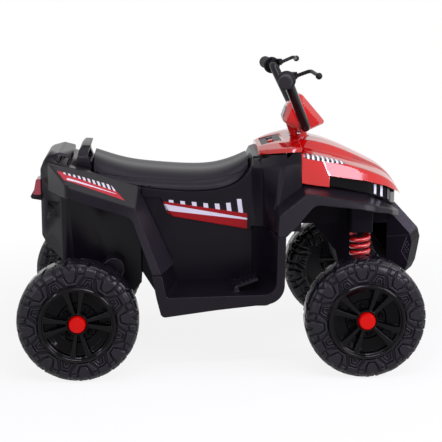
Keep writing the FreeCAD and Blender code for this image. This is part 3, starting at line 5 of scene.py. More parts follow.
import bmesh
import bpy
import numpy as np
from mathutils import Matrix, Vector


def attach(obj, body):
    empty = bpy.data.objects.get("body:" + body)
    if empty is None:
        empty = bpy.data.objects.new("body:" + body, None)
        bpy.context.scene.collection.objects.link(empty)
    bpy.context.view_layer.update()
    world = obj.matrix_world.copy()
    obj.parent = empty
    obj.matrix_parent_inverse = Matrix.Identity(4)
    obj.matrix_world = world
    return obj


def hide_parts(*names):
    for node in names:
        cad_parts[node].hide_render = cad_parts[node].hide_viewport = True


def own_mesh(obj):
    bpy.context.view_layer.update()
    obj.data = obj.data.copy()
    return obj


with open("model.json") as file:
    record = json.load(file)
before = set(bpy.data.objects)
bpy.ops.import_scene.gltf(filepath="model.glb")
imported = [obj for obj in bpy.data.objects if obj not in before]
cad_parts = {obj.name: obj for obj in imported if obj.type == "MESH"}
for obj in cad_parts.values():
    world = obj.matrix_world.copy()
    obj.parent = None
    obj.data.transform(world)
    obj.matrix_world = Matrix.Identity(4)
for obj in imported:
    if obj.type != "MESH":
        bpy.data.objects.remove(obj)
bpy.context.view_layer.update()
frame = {"nodes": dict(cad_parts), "record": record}
MM = 0.001
BODY_OF = {node: body for body, nodes in frame["record"]["behaviour"]["bodies"].items() for node in nodes}
SLOT_OF = {part["node"]: part["material_slot"] for part in frame["record"]["subparts"]}
SIDES = {"right": -1, "left": 1}

# Camera, light and floor

CAMERA_AT = (-0.1512, -3.2898, 0.9992)
CAMERA_TURN = (78.4575, 0.0, -2.5746)
CAMERA_LENS = 106.9
FLOOR_HALF = 9.0
SHADOW_FADE = (0.7, 1.5)


def linear(colour):
    """Linear RGBA of an sRGB hex colour."""
    channels = [int(colour[i:i + 2], 16) / 255 for i in (1, 3, 5)]
    return tuple(c / 12.92 if c <= 0.04045 else ((c + 0.055) / 1.055) ** 2.4 for c in channels) + (1.0,)


def add(tree, kind, inputs=None, **settings):
    """One shader node with its settings; an input is a value or the socket that feeds it."""
    node = tree.nodes.new("ShaderNode" + kind)
    for name, value in settings.items():
        setattr(node, name, value)
    for name, value in (inputs or {}).items():
        if isinstance(value, bpy.types.NodeSocket):
            tree.links.new(value, node.inputs[name])
        else:
            node.inputs[name].default_value = value
    return node


def camera():
    """Camera of the picture, at its viewing angle."""
    bpy.context.scene.view_settings.view_transform = "Standard"
    lens = bpy.data.cameras.new("photo_camera")
    lens.lens = CAMERA_LENS
    holder = bpy.data.objects.new("photo_camera", lens)
    holder.location = CAMERA_AT
    holder.rotation_euler = [math.radians(a) for a in CAMERA_TURN]
    bpy.context.scene.collection.objects.link(holder)
    bpy.context.scene.camera = holder


def lamp(name, at, aim, size, power):
    """Soft box of a width and height at a place, turned towards aim, with a cool flash tube's tint."""
    light = bpy.data.lights.new(name, "AREA")
    light.shape = "RECTANGLE"
    light.color = linear("#f1e6fb")[:3]
    light.size, light.size_y = size
    light.energy = power
    holder = bpy.data.objects.new(name, light)
    holder.location = at
    way = Vector(aim) - Vector(at)
    holder.rotation_euler = way.to_track_quat("-Z", "Y").to_euler()
    bpy.context.scene.collection.objects.link(holder)


def white_for_lens(tree):
    """1 for rays that see the background itself, straight, mirrored or through glass, else 0."""
    path = add(tree, "LightPath")
    ways = ("Camera", "Glossy", "Transmission")
    straight, mirrored, through = (path.outputs[f"Is {way} Ray"] for way in ways)
    seen = add(tree, "Math", {0: straight, 1: mirrored}, operation="MAXIMUM")
    return add(tree, "Math", {0: seen.outputs[0], 1: through}, operation="MAXIMUM")


def studio():
    """White surround for the lens, a dimmer one as ambient light, three soft boxes, three strips and a pale
    floor. The front box is where the hood's side mirrors it along its upper half."""
    world = bpy.data.worlds.new("studio")
    bpy.context.scene.world = world
    world.use_nodes = True
    tree = world.node_tree
    tree.nodes.clear()
    seen = white_for_lens(tree)
    glow = add(tree, "MapRange", {"Value": seen.outputs[0], "To Min": 0.3, "To Max": 1.0})
    sky = add(tree, "Background", {"Color": linear("#ffffff"), "Strength": glow.outputs[0]})
    add(tree, "OutputWorld", {"Surface": sky.outputs[0]})
    middle = (0.0, 0.0, 0.35)
    lamp("overhead_box", (0.1, -0.1, 2.3), middle, (1.6, 0.3), 8)
    lamp("key_box", (0.0, -1.75, 2.15), middle, (1.6, 0.22), 21)
    lamp("front_box", (1.63, -1.42, 1.31), (0.3, -0.18, 0.48), (1.87, 0.62), 33)
    lamp("rear_strip", (-1.9, -1.4, 1.2), middle, (0.12, 1.0), 7)
    lamp("left_strip", (-1.5, -2.6, 0.9), middle, (0.05, 1.4), 11)
    lamp("right_strip", (1.35, -2.8, 0.9), middle, (0.05, 1.4), 11)
    corners = [(x * FLOOR_HALF, y * FLOOR_HALF, 0.0) for x, y in ((-1, -1), (1, -1), (1, 1), (-1, 1))]
    floor = sheet_mesh("floor", corners, [[0, 1, 2, 3]])
    floor.data.materials.append(floor_paper())


def floor_paper():
    """Pale studio paper: matt for the light that reaches the object, white to the lens outside the shadow."""
    material = bpy.data.materials.new("studio_paper")
    material.use_nodes = True
    tree = material.node_tree
    tree.nodes.clear()
    matt = add(tree, "BsdfDiffuse", {"Color": linear("#f4f4f4")})
    white = add(tree, "Emission", {"Color": linear("#ffffff"), "Strength": 1.0})
    seen = white_for_lens(tree)
    place = add(tree, "TexCoord")
    away = add(tree, "VectorMath", {0: place.outputs["Object"]}, operation="LENGTH")
    fade = add(tree, "MapRange", {"Value": away.outputs["Value"], "From Min": SHADOW_FADE[0],
                                  "From Max": SHADOW_FADE[1], "To Min": 0.86})
    share = add(tree, "Math", {0: seen.outputs[0], 1: fade.outputs[0]}, operation="MULTIPLY")
    both = add(tree, "MixShader", {0: share.outputs[0], 1: matt.outputs[0], 2: white.outputs[0]})
    add(tree, "OutputMaterial", {"Surface": both.outputs[0]})
    return material


# Meshes

def sheet_mesh(name, points, faces):
    """Object at the origin from an array of points and a list of faces."""
    mesh = bpy.data.meshes.new(name)
    mesh.from_pydata(np.asarray(points, float).tolist(), [], [list(map(int, f)) for f in faces])
    mesh.update()
    piece = bpy.data.objects.new(name, mesh)
    bpy.context.scene.collection.objects.link(piece)
    return piece


def grid_mesh(name, points, wrap_u=False, wrap_v=False):
    """Smooth surface through points[u, v]; a wrapped direction closes on itself."""
    rows, columns = points.shape[:2]
    index = np.arange(rows * columns).reshape(rows, columns)
    if wrap_u:
        index = np.vstack([index, index[:1]])
    if wrap_v:
        index = np.hstack([index, index[:, :1]])
    quads = np.stack([index[:-1, :-1], index[1:, :-1], index[1:, 1:], index[:-1, 1:]], -1).reshape(-1, 4)
    mesh = bpy.data.meshes.new(name)
    mesh.vertices.add(rows * columns)
    mesh.vertices.foreach_set("co", points.reshape(-1, 3).astype(np.float32).ravel())
    mesh.loops.add(quads.size)
    mesh.loops.foreach_set("vertex_index", quads.astype(np.int32).ravel())
    mesh.polygons.add(len(quads))
    mesh.polygons.foreach_set("loop_start", np.arange(0, quads.size, 4, dtype=np.int32))
    mesh.polygons.foreach_set("use_smooth", np.ones(len(quads), bool))
    mesh.update(calc_edges=True)
    piece = bpy.data.objects.new(name, mesh)
    bpy.context.scene.collection.objects.link(piece)
    return piece


def dress(node, width):
    """Copy of a CAD node that stands for it: doubles merged, curved faces smooth, sharp edges rounded by a
    width in millimetres where one is given."""
    shape = bmesh.new()
    shape.from_mesh(frame["nodes"][node].data)
    bmesh.ops.remove_doubles(shape, verts=shape.verts, dist=0.01 * MM)
    if width:
        bmesh.ops.dissolve_limit(shape, angle_limit=math.radians(0.05), verts=shape.verts, edges=shape.edges)
    mesh = bpy.data.meshes.new(node + "_skin")
    shape.to_mesh(mesh)
    shape.free()
    piece = bpy.data.objects.new(node + "_skin", mesh)
    bpy.context.scene.collection.objects.link(piece)
    mesh.shade_smooth()
    mesh.set_sharp_from_angle(angle=math.radians(32))
    if width:
        bevel = piece.modifiers.new("rounded_edges", "BEVEL")
        bevel.width = width * MM
        bevel.segments = 2
        bevel.limit_method = "ANGLE"
        bevel.angle_limit = math.radians(32)
        bevel.use_clamp_overlap = False
        bevel.harden_normals = True
    settle(piece, node)
    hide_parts(node)
    return piece


def settle(piece, node):
    """Let a piece ride with its node's body, in the node's slot and finish."""
    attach(piece, BODY_OF[node])
    plain = node.removeprefix("right_").removeprefix("left_")
    piece.data.materials.append(SPECIAL_FINISHES.get(plain, FINISHES[SLOT_OF[node]]))


# Finishes

def principled(name, colour, roughness, **sockets):
    """Material with one principled shader; returns it with its tree and shader."""
    material = bpy.data.materials.new(name)
    material.use_nodes = True
    tree = material.node_tree
    shader = tree.nodes["Principled BSDF"]
    shader.inputs["Base Color"].default_value = linear(colour)
    shader.inputs["Roughness"].default_value = roughness
    for socket, value in sockets.items():
        shader.inputs[socket.replace("_", " ")].default_value = value
    return material, tree, shader


def speckle(tree, millimetres, detail=2.0):
    """Noise over the piece with grains of the given size."""
    place = add(tree, "TexCoord")
    return add(tree, "TexNoise", {"Vector": place.outputs["Object"], "Scale": 1 / (millimetres * MM),
                                  "Detail": detail})


def grained(tree, shader, dark, light, grain, depth, rough_low, rough_high, edge=1.2):
    """Mottled colour, uneven gloss, a fine moulded grain and softly rounded edges on the shader."""
    cloud = speckle(tree, 60.0)
    tone = add(tree, "MixRGB", {"Fac": cloud.outputs["Fac"], "Color1": linear(dark), "Color2": linear(light)})
    tree.links.new(tone.outputs[0], shader.inputs["Base Color"])
    fine = speckle(tree, grain)
    gloss = add(tree, "MapRange", {"Value": fine.outputs["Fac"], "To Min": rough_low, "To Max": rough_high})
    tree.links.new(gloss.outputs[0], shader.inputs["Roughness"])
    rounded = add(tree, "Bevel", {"Radius": edge * MM}, samples=4)
    bump = add(tree, "Bump", {"Height": fine.outputs["Fac"], "Strength": 0.25, "Distance": depth * MM,
                              "Normal": rounded.outputs[0]})
    tree.links.new(bump.outputs[0], shader.inputs["Normal"])


def axes(tree):
    """Object X, distance from the middle plane and Z, in millimetres."""
    place = add(tree, "TexCoord")
    scaled = add(tree, "VectorMath", {0: place.outputs["Object"], 1: (1 / MM,) * 3}, operation="MULTIPLY")
    split = add(tree, "SeparateXYZ", {0: scaled.outputs[0]})
    off = add(tree, "Math", {0: split.outputs["Y"]}, operation="ABSOLUTE")
    return split.outputs["X"], off.outputs[0], split.outputs["Z"]


def line_over(tree, along, points):
    """Value that runs straight between (place, value) points: a ramp over the span, scaled back."""
    places = [p[0] for p in points]
    values = [p[1] for p in points]
    low, high = min(values), max(values) + 1e-6
    share = add(tree, "MapRange", {"Value": along, "From Min": places[0], "From Max": places[-1]})
    ramp = add(tree, "ValToRGB", {"Fac": share.outputs[0]})
    stops = ramp.color_ramp.elements
    for k, (place, value) in enumerate(points):
        at = (place - places[0]) / (places[-1] - places[0])
        stop = stops[0] if k == 0 else stops[-1] if k == len(points) - 1 else stops.new(at)
        level = (value - low) / (high - low)
        stop.position = at
        stop.color = (level, level, level, 1.0)
    return add(tree, "MapRange", {"Value": ramp.outputs[0], "To Min": low, "To Max": high}).outputs[0]


def over(tree, value, limit, soft=0.35):
    """1 where value is past limit, 0 where it is short of it, over a soft step."""
    gap = add(tree, "Math", {0: value, 1: limit}, operation="SUBTRACT")
    return add(tree, "MapRange", {"Value": gap.outputs[0], "From Min": -soft, "From Max": soft}).outputs[0]


def all_of(tree, *masks):
    """Product of masks."""
    return reduce(lambda a, b: add(tree, "Math", {0: a, 1: b}, operation="MULTIPLY").outputs[0], masks)


def span(tree, value, low, high):
    """1 where value lies between two limits, which may themselves run along the piece."""
    return all_of(tree, over(tree, value, low), add(
        tree, "Math", {0: 1.0, 1: over(tree, value, high)}, operation="SUBTRACT").outputs[0])


def beside(tree, value, line, low, high):
    """1 where the distance of value from a line lies between two limits."""
    off = add(tree, "Math", {0: value, 1: line}, operation="SUBTRACT")
    off = add(tree, "Math", {0: off.outputs[0]}, operation="ABSOLUTE")
    return span(tree, off.outputs[0], low, high)


def bars(tree, along, start, period, width):
    """1 on even bars of a width, one each period from start on."""
    shifted = add(tree, "Math", {0: along, 1: start}, operation="SUBTRACT")
    turns = add(tree, "Math", {0: shifted.outputs[0], 1: period}, operation="FLOORED_MODULO")
    return span(tree, turns.outputs[0], 0.2, width)


def sheared(tree, along, across, slope):
    """along plus slope times across, for slanted bars."""
    return add(tree, "Math", {0: across, 1: slope, 2: along}, operation="MULTIPLY_ADD").outputs[0]


def painted(tree, shader, mask, colour):
    """Lay a printed colour over the base colour where the mask is 1."""
    below = shader.inputs["Base Color"].links[0].from_socket
    tone = add(tree, "MixRGB", {"Fac": mask, "Color1": below, "Color2": linear(colour)})
    tree.links.new(tone.outputs[0], shader.inputs["Base Color"])


def carved(tree, shader, mask, depth):
    """Sink the surface by a depth where the mask is 1, under the grain that is already there."""
    bump = shader.inputs["Normal"].links[0].from_node
    groove = add(tree, "Bump", {"Height": mask, "Strength": 1.0, "Distance": depth * MM,
                                "Normal": bump.inputs["Normal"].links[0].from_socket}, invert=True)
    tree.links.new(groove.outputs[0], bump.inputs["Normal"])


def black_moulding(name, edge=2.6, shine=0.17, rough=0.27):
    """Black polypropylene from a spark-eroded mould: a fine matt grain with a soft sheen."""
    material, tree, shader = principled(name, "#0c0a0f", 0.4, IOR=1.49, Specular_IOR_Level=shine)
    grained(tree, shader, "#0c0a0f", "#120f17", 1.6, 0.12, rough, rough + 0.1, edge)
    return material, tree, shader


def side_panel_print():
    """The black moulding with a printed film on each side panel: a red wedge, a white line that thins
    towards the front and a row of slanted white bars over it."""
    material, tree, shader = black_moulding("moulded_polypropylene_with_side_film", shine=0.13)
    x, y, z = axes(tree)
    panel = all_of(tree, over(tree, y, 122.0), span(tree, x, -151.0, 55.0))
    top = line_over(tree, x, ((-152, 403.7), (55, 371.8)))
    low = line_over(tree, x, ((-152, 403.0), (-140, 373.8), (-129, 366.1), (55, 331.5)))
    white_top = line_over(tree, x, ((-150, 397.4), (55, 360.4)))
    white_low = line_over(tree, x, ((-150, 397.2), (-143.5, 381.0), (55, 356.1)))
    bar_top = line_over(tree, x, ((-152, 409), (-104, 404), (-76, 401.7), (-47, 398.3), (-18, 397), (12, 399),
                                  (30, 408), (55, 408)))
    lean = 0.13
    slanted = bars(tree, sheared(tree, x, z, lean), -137.6 + lean * 407, 27.85, 11.4)
    rows = all_of(tree, slanted, span(tree, z, top, bar_top), panel)
    painted(tree, shader, all_of(tree, panel, span(tree, z, low, top)), "#8a1217")
    painted(tree, shader, all_of(tree, panel, span(tree, z, white_low, white_top)), "#c9c9d2")
    painted(tree, shader, rows, "#c9c9d2")
    return material


def fender_moulding():
    """The black moulding of the front fenders, whose skirts are hollow ground: the shading leans back over
    their height, by a fall of four in ten, and their edges are well rounded."""
    material, tree, shader = black_moulding("rounded_polypropylene", edge=5.0)
    carved(tree, shader, axes(tree)[2], 0.4)
    return material


def fender_print():
    """The black moulding with a printed film on the fender's slope: red, slanted ends, short black and
    white bars along its upper edge and a plain white line that thins towards the front. The leg guard below
    the film is painted paler: a painted sheen where the light falls on it."""
    material, tree, shader = black_moulding("moulded_polypropylene_with_fender_film", shine=0.14, rough=0.36)
    x, y, z = axes(tree)
    # Painted sheen: the leg guard below the film, towards the front, is painted paler.
    painted(tree, shader, all_of(tree, over(tree, x, -240.0, 30.0), over(tree, 410.0, z, 20.0)), "#211e24")
    slope = over(tree, z, 415.0)
    left = line_over(tree, y, ((186, -403.5), (228, -383)))
    right = line_over(tree, y, ((183, -276), (205, -264), (241, -241)))
    low = line_over(tree, x, ((-403, 225), (-241, 241)))
    film = all_of(tree, slope, span(tree, x, left, right), span(tree, y, 185.0, low))
    bar_low = line_over(tree, x, ((-392, 193), (-354, 198.5), (-312, 204), (-264, 209)))
    top_rows = all_of(tree, film, span(tree, y, 185.0, bar_low), over(tree, x, -388.0))
    lean = -0.25
    slanted = bars(tree, sheared(tree, x, y, lean), -388.0 + lean * 190, 11.4, 6.0)
    stripe_low = line_over(tree, x, ((-380, 222), (-262, 222)))
    stripe_top = line_over(tree, x, ((-392, 210), (-262, 220)))
    painted(tree, shader, film, "#b3202d")
    painted(tree, shader, top_rows, "#141317")
    painted(tree, shader, all_of(tree, top_rows, slanted), "#dcdbe0")
    stripe = all_of(tree, film, span(tree, y, stripe_top, stripe_low), span(tree, x, -378.0, -262.0))
    painted(tree, shader, stripe, "#dcdbe0")
    return material


def seat_plastic():
    """Blow-moulded seat with a leather-like grain, satin, and moulded seam lines round its sides, painted
    darker as painted shade in their grooves.
    """
    material, tree, shader = principled("grained_seat_plastic", "#121016", 0.4, IOR=1.49,
                                        Specular_IOR_Level=0.16)
    grained(tree, shader, "#121016", "#18151d", 2.4, 0.3, 0.32, 0.44, 2.0)
    x, y, z = axes(tree)
    seam = line_over(tree, x, ((-325, 476), (-270, 466), (-207, 458), (-97, 450), (-31, 454), (24, 464),
                               (64, 477)))
    line = all_of(tree, beside(tree, z, seam, -5.0, 0.8), over(tree, y, 60.0))
    carved(tree, shader, line, 1.2)
    # Painted shade: the carved seam groove is painted darker.
    painted(tree, shader, line, "#0d0c0f")
    return material


def wheel_polypropylene():
    """Blow-moulded wheel plastic on the lugs: black and satin, a little lighter than the grooves, whose darker
    colour is painted shade.
    """
    material, tree, shader = principled("blow_moulded_wheel_plastic", "#0f0e12", 0.3, IOR=1.49,
                                        Specular_IOR_Level=0.27)
    grained(tree, shader, "#0e0c13", "#15131b", 2.2, 0.12, 0.2, 0.28, 0.3)
    return material


def groove_plastic_with_painted_shade():
    """The same wheel plastic down in the grooves: black and dull, painted darker as painted shade in the
    grooves.
    """
    material, tree, shader = principled("wheel_plastic_in_grooves", "#0b0a0d", 0.4, IOR=1.49,
                                        Specular_IOR_Level=0.15)
    grained(tree, shader, "#0c0a10", "#110f16", 2.2, 0.2, 0.32, 0.42, 0.3)
    return material


def gloss_abs(name, dark, light, shine=0.2):
    """Injection-moulded ABS from a polished mould: deep colour under an even mirror gloss."""
    material, tree, shader = principled(name, dark, 0.08, IOR=1.54, Specular_IOR_Level=shine)
    grained(tree, shader, dark, light, 9.0, 0.03, 0.05, 0.09, 1.5)
    return material, tree, shader


def gloss_black():
    """Black ABS from a polished mould, for the wheel covers and lever parts."""
    return gloss_abs("gloss_black_abs", "#050506", "#08080a", 0.11)[0]


def hood_red():
    """Gloss red ABS of the hood, with printed dashes under the side crease that run out into a thin line,
    and a thin line along each side of the raised middle."""
    material, tree, shader = gloss_abs("gloss_red_abs_with_side_print", "#b60306", "#bc0709", 0.6)
    x, y, z = axes(tree)
    top = line_over(tree, x, ((188, 527.0), (235, 517.4), (288, 504)))
    low = line_over(tree, x, ((188, 517.6), (235, 508.8), (288, 500.5)))
    strip = all_of(tree, span(tree, z, low, top), span(tree, x, 190.0, 288.0), over(tree, y, 160.0))
    painted(tree, shader, strip, "#100f12")
    painted(tree, shader, all_of(tree, strip, bars(tree, x, 195.0, 11.8, 5.4)), "#ececf0")
    crease = line_over(tree, x, ((287, 169.5), (306, 169.5), (326, 165.5), (345, 159), (366, 147.5), (388, 133),
                                 (408, 114)))
    on_top = over(tree, z, 440.0)
    thin = all_of(tree, beside(tree, y, crease, -5.0, 1.6), span(tree, x, 287.0, 404.0), on_top)
    painted(tree, shader, thin, "#3a1216")
    spear = line_over(tree, x, ((322, 78), (405, 56)))
    twin = all_of(tree, beside(tree, y, spear, 0.6, 1.9), span(tree, x, 322.0, 404.0), on_top)
    painted(tree, shader, twin, "#5a151a")
    return material


def bumper_moulding():
    """The black moulding with fine lengthwise ribs on the bumper's upper faces, carved and painted pale as a
    painted highlight. Each side falls away past a slanted crease, with a second crease above it and a patch of
    mesh holes beside it; a paler line painted along each crease is a painted highlight on its edge."""
    material, tree, shader = black_moulding("ribbed_polypropylene", 2.0, 0.02, 0.45)
    x, y, z = axes(tree)
    facing = add(tree, "SeparateXYZ", {0: add(tree, "NewGeometry").outputs["Normal"]})
    side = over(tree, y, 100.0)
    edge = line_over(tree, z, ((231, 465), (266, 444), (271, 441), (307, 453), (318, 478)))
    past = add(tree, "Math", {0: x, 1: edge}, operation="SUBTRACT").outputs[0]
    fall = add(tree, "Math", {0: past, 1: 0.0}, operation="MAXIMUM").outputs[0]
    carved(tree, shader, fall, 0.4)
    # Painted highlight: a paler line along the slanted crease, where its edge catches the light.
    crease = all_of(tree, side, span(tree, past, -0.9, 0.9), span(tree, z, 240.0, 308.0))
    painted(tree, shader, crease, "#3b3940")
    shelf = line_over(tree, x, ((413, 309.6), (453, 312.6), (475, 317)))
    above = add(tree, "Math", {0: z, 1: shelf}, operation="SUBTRACT").outputs[0]
    # Painted highlight: a paler line along the second crease.
    painted(tree, shader, all_of(tree, side, span(tree, above, -0.8, 0.8)), "#252329")
    dots = all_of(tree, bars(tree, sheared(tree, x, z, 0.58), 0.0, 7.6, 4.2),
                  bars(tree, sheared(tree, x, z, -0.58), 0.0, 7.6, 4.2),
                  span(tree, x, 447.0, 461.0), span(tree, z, 268.0, 298.0), side)
    carved(tree, shader, dots, 1.2)
    painted(tree, shader, dots, "#3a373f")
    # Painted highlight: the ribs on upward faces are carved and painted pale where they catch the light.
    upper = over(tree, facing.outputs["Z"], 0.3, 0.05)
    ribs_with_painted_highlight = all_of(tree, bars(tree, y, 0.0, 5.0, 2.2), upper, over(tree, y, 30.0))
    carved(tree, shader, ribs_with_painted_highlight, 1.5)
    painted(tree, shader, ribs_with_painted_highlight, "#6f6b76")
    return material


def grip_rubber():
    """Soft thermoplastic rubber: dull and slightly dusty."""
    material, tree, shader = principled("grip_rubber", "#121114", 0.55, Specular_IOR_Level=0.2)
    grained(tree, shader, "#121114", "#1a191c", 1.2, 0.15, 0.45, 0.62, 0.5)
    return material


def bar_enamel():
    """Black stove enamel on steel tube: glossy with a faint orange peel."""
    material, tree, shader = principled("black_stove_enamel", "#08080a", 0.16, Specular_IOR_Level=0.25)
    grained(tree, shader, "#08080a", "#0d0d10", 3.0, 0.05, 0.12, 0.2, 0.6)
    return material


def damper_paint():
    """Dark grey-green primer on the strut tubes and knuckles, half matt."""
    material, tree, shader = principled("damper_paint", "#0d0f0f", 0.4, Specular_IOR_Level=0.2)
    grained(tree, shader, "#0d0f0f", "#151817", 2.0, 0.08, 0.34, 0.5, 0.8)
    return material


def spring_enamel():
    """Red gloss enamel on spring steel."""
    material, tree, shader = principled("spring_enamel", "#b81418", 0.14, Coat_Weight=1.0, Coat_Roughness=0.05)
    grained(tree, shader, "#ae1014", "#c4171b", 5.0, 0.04, 0.1, 0.18, 0.5)
    return material


def zinc_steel():
    """Zinc-plated steel: pale grey metal with cloudy crystals in the plating."""
    material, tree, shader = principled("zinc_plated_steel", "#a9abb0", 0.32, Metallic=1.0)
    grained(tree, shader, "#9a9ca2", "#b8babd", 3.0, 0.05, 0.24, 0.4, 0.5)
    return material


def light_guide():
    """Clear light guide on a white backing, as bright as a frosted lamp cover by day; the foremost bar is
    painted darker, a painted shade."""
    material, tree, shader = principled("frosted_light_guide", "#dfe8f2", 0.12, IOR=1.49)
    grained(tree, shader, "#cfdcec", "#eef3f8", 4.0, 0.05, 0.08, 0.2, 0.6)
    # Painted shade: the foremost bar, past x = 395 mm, is painted darker.
    painted(tree, shader, over(tree, axes(tree)[0], 395.0), "#4d5056")
    return material


def red_lens():
    """Red lamp moulding, slightly milky."""
    material, tree, shader = principled("red_lamp_moulding", "#9a2c3a", 0.16, IOR=1.49)
    grained(tree, shader, "#8f2735", "#ab3b4a", 6.0, 0.05, 0.1, 0.2, 1.0)
    return material


def silver_print():
    """Silver-grey plate print, satin."""
    material, tree, shader = principled("silver_print", "#8d8d93", 0.3, Metallic=0.3)
    grained(tree, shader, "#85858b", "#9a9aa0", 2.0, 0.04, 0.25, 0.4, 0.5)
    return material


def switch_plate():
    """Charcoal ABS of the switch plate and its rocker, half matt."""
    material, tree, shader = principled("charcoal_abs", "#1a191d", 0.4, Specular_IOR_Level=0.2)
    grained(tree, shader, "#19181c", "#212025", 1.5, 0.06, 0.32, 0.48, 0.6)
    return material


def lamp_panel():
    """Smoked gloss plastic round the lamps, nearly black."""
    return gloss_abs("smoked_lamp_panel", "#0b0a0c", "#100f12", 0.07)[0]


def battery_case():
    """Grey ABS battery case, matt."""
    material, tree, shader = principled("battery_abs", "#4a4a4f", 0.5)
    grained(tree, shader, "#47474c", "#525257", 2.0, 0.1, 0.45, 0.6, 0.8)
    return material


FINISHES = {
    "black_plastic": black_moulding("moulded_polypropylene")[0], "wheel_plastic": wheel_polypropylene(),
    "gloss_black": gloss_black(), "red_plastic": gloss_abs("gloss_red_abs", "#c00709", "#c60c0e", 0.3)[0],
    "seat_plastic": seat_plastic(), "grip_rubber": grip_rubber(), "bar_paint": bar_enamel(),
    "spring_paint": spring_enamel(), "steel": zinc_steel(), "clear_lens": light_guide(), "red_lens": red_lens(),
    "grey_plate": silver_print(), "battery_case": battery_case()}
SHADED_GROOVES = groove_plastic_with_painted_shade()
DISH_ABS = gloss_abs("wheel_cover_dish_abs", "#050506", "#08080a", 0.06)[0]
CAP_ABS = gloss_abs("cap_red_abs", "#b80503", "#be0a06", 0.1)[0]
SPECIAL_FINISHES = {
    "center_body": side_panel_print(), "rear_fender": fender_print(), "hood": hood_red(),
    "front_bumper": bumper_moulding(), "strut": damper_paint(), "knuckle": damper_paint(),
    "front_hub_cap": CAP_ABS, "rear_hub_cap": CAP_ABS, "tie_rod": damper_paint(),
    "steering_column": damper_paint(), "front_fender": fender_moulding(),
    "front_carrier": black_moulding("dull_polypropylene", 1.2, 0.05, 0.45)[0],
    "dash_plate": switch_plate(), "direction_rocker": switch_plate(), "headlamp_panel": lamp_panel()}

# Wheels, in millimetres until the mesh is made

WHEEL_Y = 263.0
AXLE_Z = 145.0
AXLE_X = {"front": 329.0, "rear": -355.0}
LUG_PERIODS = 8
LUG_TURN = math.radians(-7)
CROWN_LUGS = 16
WALL_HALF = 47.0
SECTION_R = 112.0
CROWN_H = 28.5
BEAD_H = 45.0
TURN_STEPS = 720
COVER_IN = 22.4
COVER_OUT = 92.0
DISH_FLOOR = 25.5
DISH_EDGE = 38.5
SPOKE_LEAN = math.radians(13.5)
BOLT_RING = 37.0
COVER_TURN = {"front": math.radians(31.0), "rear": math.radians(-5.0)}


def flank(distance, width=1.3):
    """Share of full height at a distance from an outline, negative inside, along a sloped flank."""
    return np.clip(0.5 - distance / width, 0.0, 1.0)


def side_wall_relief(angle, radius):
    """Moulded side wall: wedges that point to the hub, each in a V band; half a period on, two nested
    arches under a block. Each outline is a half width given at a few radii, measured from its own axis."""
    period = 2 * math.pi / LUG_PERIODS
    turn = np.abs(((angle - LUG_TURN) / period + 0.5) % 1.0 - 0.5)
    from_v = turn * period * radius
    from_arch = (0.5 - turn) * period * radius

    def outline(offset, radii, halves):
        ends = np.maximum(radii[0] - radius, radius - radii[-1])
        return np.maximum(np.abs(offset) - np.interp(radius, radii, halves), ends)

    notch = outline(from_v, (128, 140), (0.5, 9.5))
    wedge = np.maximum(outline(from_v, (103, 113, 138), (5.6, 11.5, 15.5)), -notch)
    band = np.maximum(outline(from_v, (95, 119.5), (12, 32)), -outline(from_v, (101, 126), (8.5, 22)))
    arch = np.maximum(outline(from_arch, (95, 115), (16.5, 9.5)), -outline(from_arch, (80, 111.5), (16.5, 6.5)))
    gap = outline(from_arch, (80, 104.5), (9.5, 2.4))
    small_arch = np.maximum(outline(from_arch, (95, 108), (9.4, 5.4)), -gap)
    block = outline(from_arch, (117.5, 136.5), (12, 12.5))
    lug = outline(from_v - 26, (124, 136), (5.5, 5.5))
    ring = np.maximum(137.8 - radius, radius - 139.5)
    bead = radius - 92.5
    heights = ((wedge, 4.6), (band, 3.8), (arch, 3.4), (small_arch, 3.0), (block, 4.6), (lug, 3.0), (ring, 2.4),
               (bead, 3.2))
    return reduce(np.maximum, [flank(distance) * height for distance, height in heights])


def crown_relief(angle, across):
    """Lugs over the crown: slanted grooves from the middle outwards, a ring groove and short sipes."""
    pitch = 2 * math.pi / CROWN_LUGS
    slant = np.abs(across) * math.tan(math.radians(22)) / 145.0
    turn = ((angle - np.sign(across) * pitch / 4 + slant) / pitch + 0.5) % 1.0 - 0.5
    groove = np.maximum(np.abs(turn) * pitch * 145.0 - 4.5, 7.0 - np.abs(across))
    ring = np.abs(np.abs(across) - 25.0) - 1.6
    sipe = np.maximum((0.5 - np.abs(turn)) * pitch * 145.0 - 1.5, 14.0 - np.abs(across))
    return 4.5 - reduce(np.maximum, [flank(groove) * 4.5, flank(ring) * 2.5, flank(sipe) * 2.5])


def tyre_section():
    """Groove-floor section from outer bead to inner bead: a fourth-power ellipse, taller below its middle,
    at stations of even arc length, closest on the outer wall; with its outward normals."""
    lap = np.linspace(-0.62, math.pi + 0.62, 6001)
    across = -WALL_HALF * np.sign(np.cos(lap)) * np.abs(np.cos(lap)) ** 0.5
    height = np.where(np.sin(lap) > 0, CROWN_H, BEAD_H)
    radius = SECTION_R + height * np.sign(np.sin(lap)) * np.abs(np.sin(lap)) ** 0.5
    keep = radius > 87.0
    across, radius = across[keep], radius[keep]
    run = np.concatenate([[0], np.cumsum(np.hypot(np.diff(across), np.diff(radius)))])
    share = np.concatenate([np.linspace(0, 0.36, 76), np.linspace(0.36, 0.66, 32)[1:],
                            np.linspace(0.66, 1, 16)[1:]])
    across = np.interp(share * run[-1], run, across)
    radius = np.interp(share * run[-1], run, radius)
    way = np.stack([np.gradient(across), np.gradient(radius)], -1)
    way /= np.linalg.norm(way, axis=-1, keepdims=True)
    return across, radius, -way[:, 1], way[:, 0]


def wheel_points(angle, across, radius, side, axle_x):
    """Places in metres of points given by angle from the top, distance out from mid wheel and radius."""
    y = side * (WHEEL_Y - across)
    return np.stack([axle_x + radius * np.sin(angle), y, AXLE_Z + radius * np.cos(angle)], -1) * MM


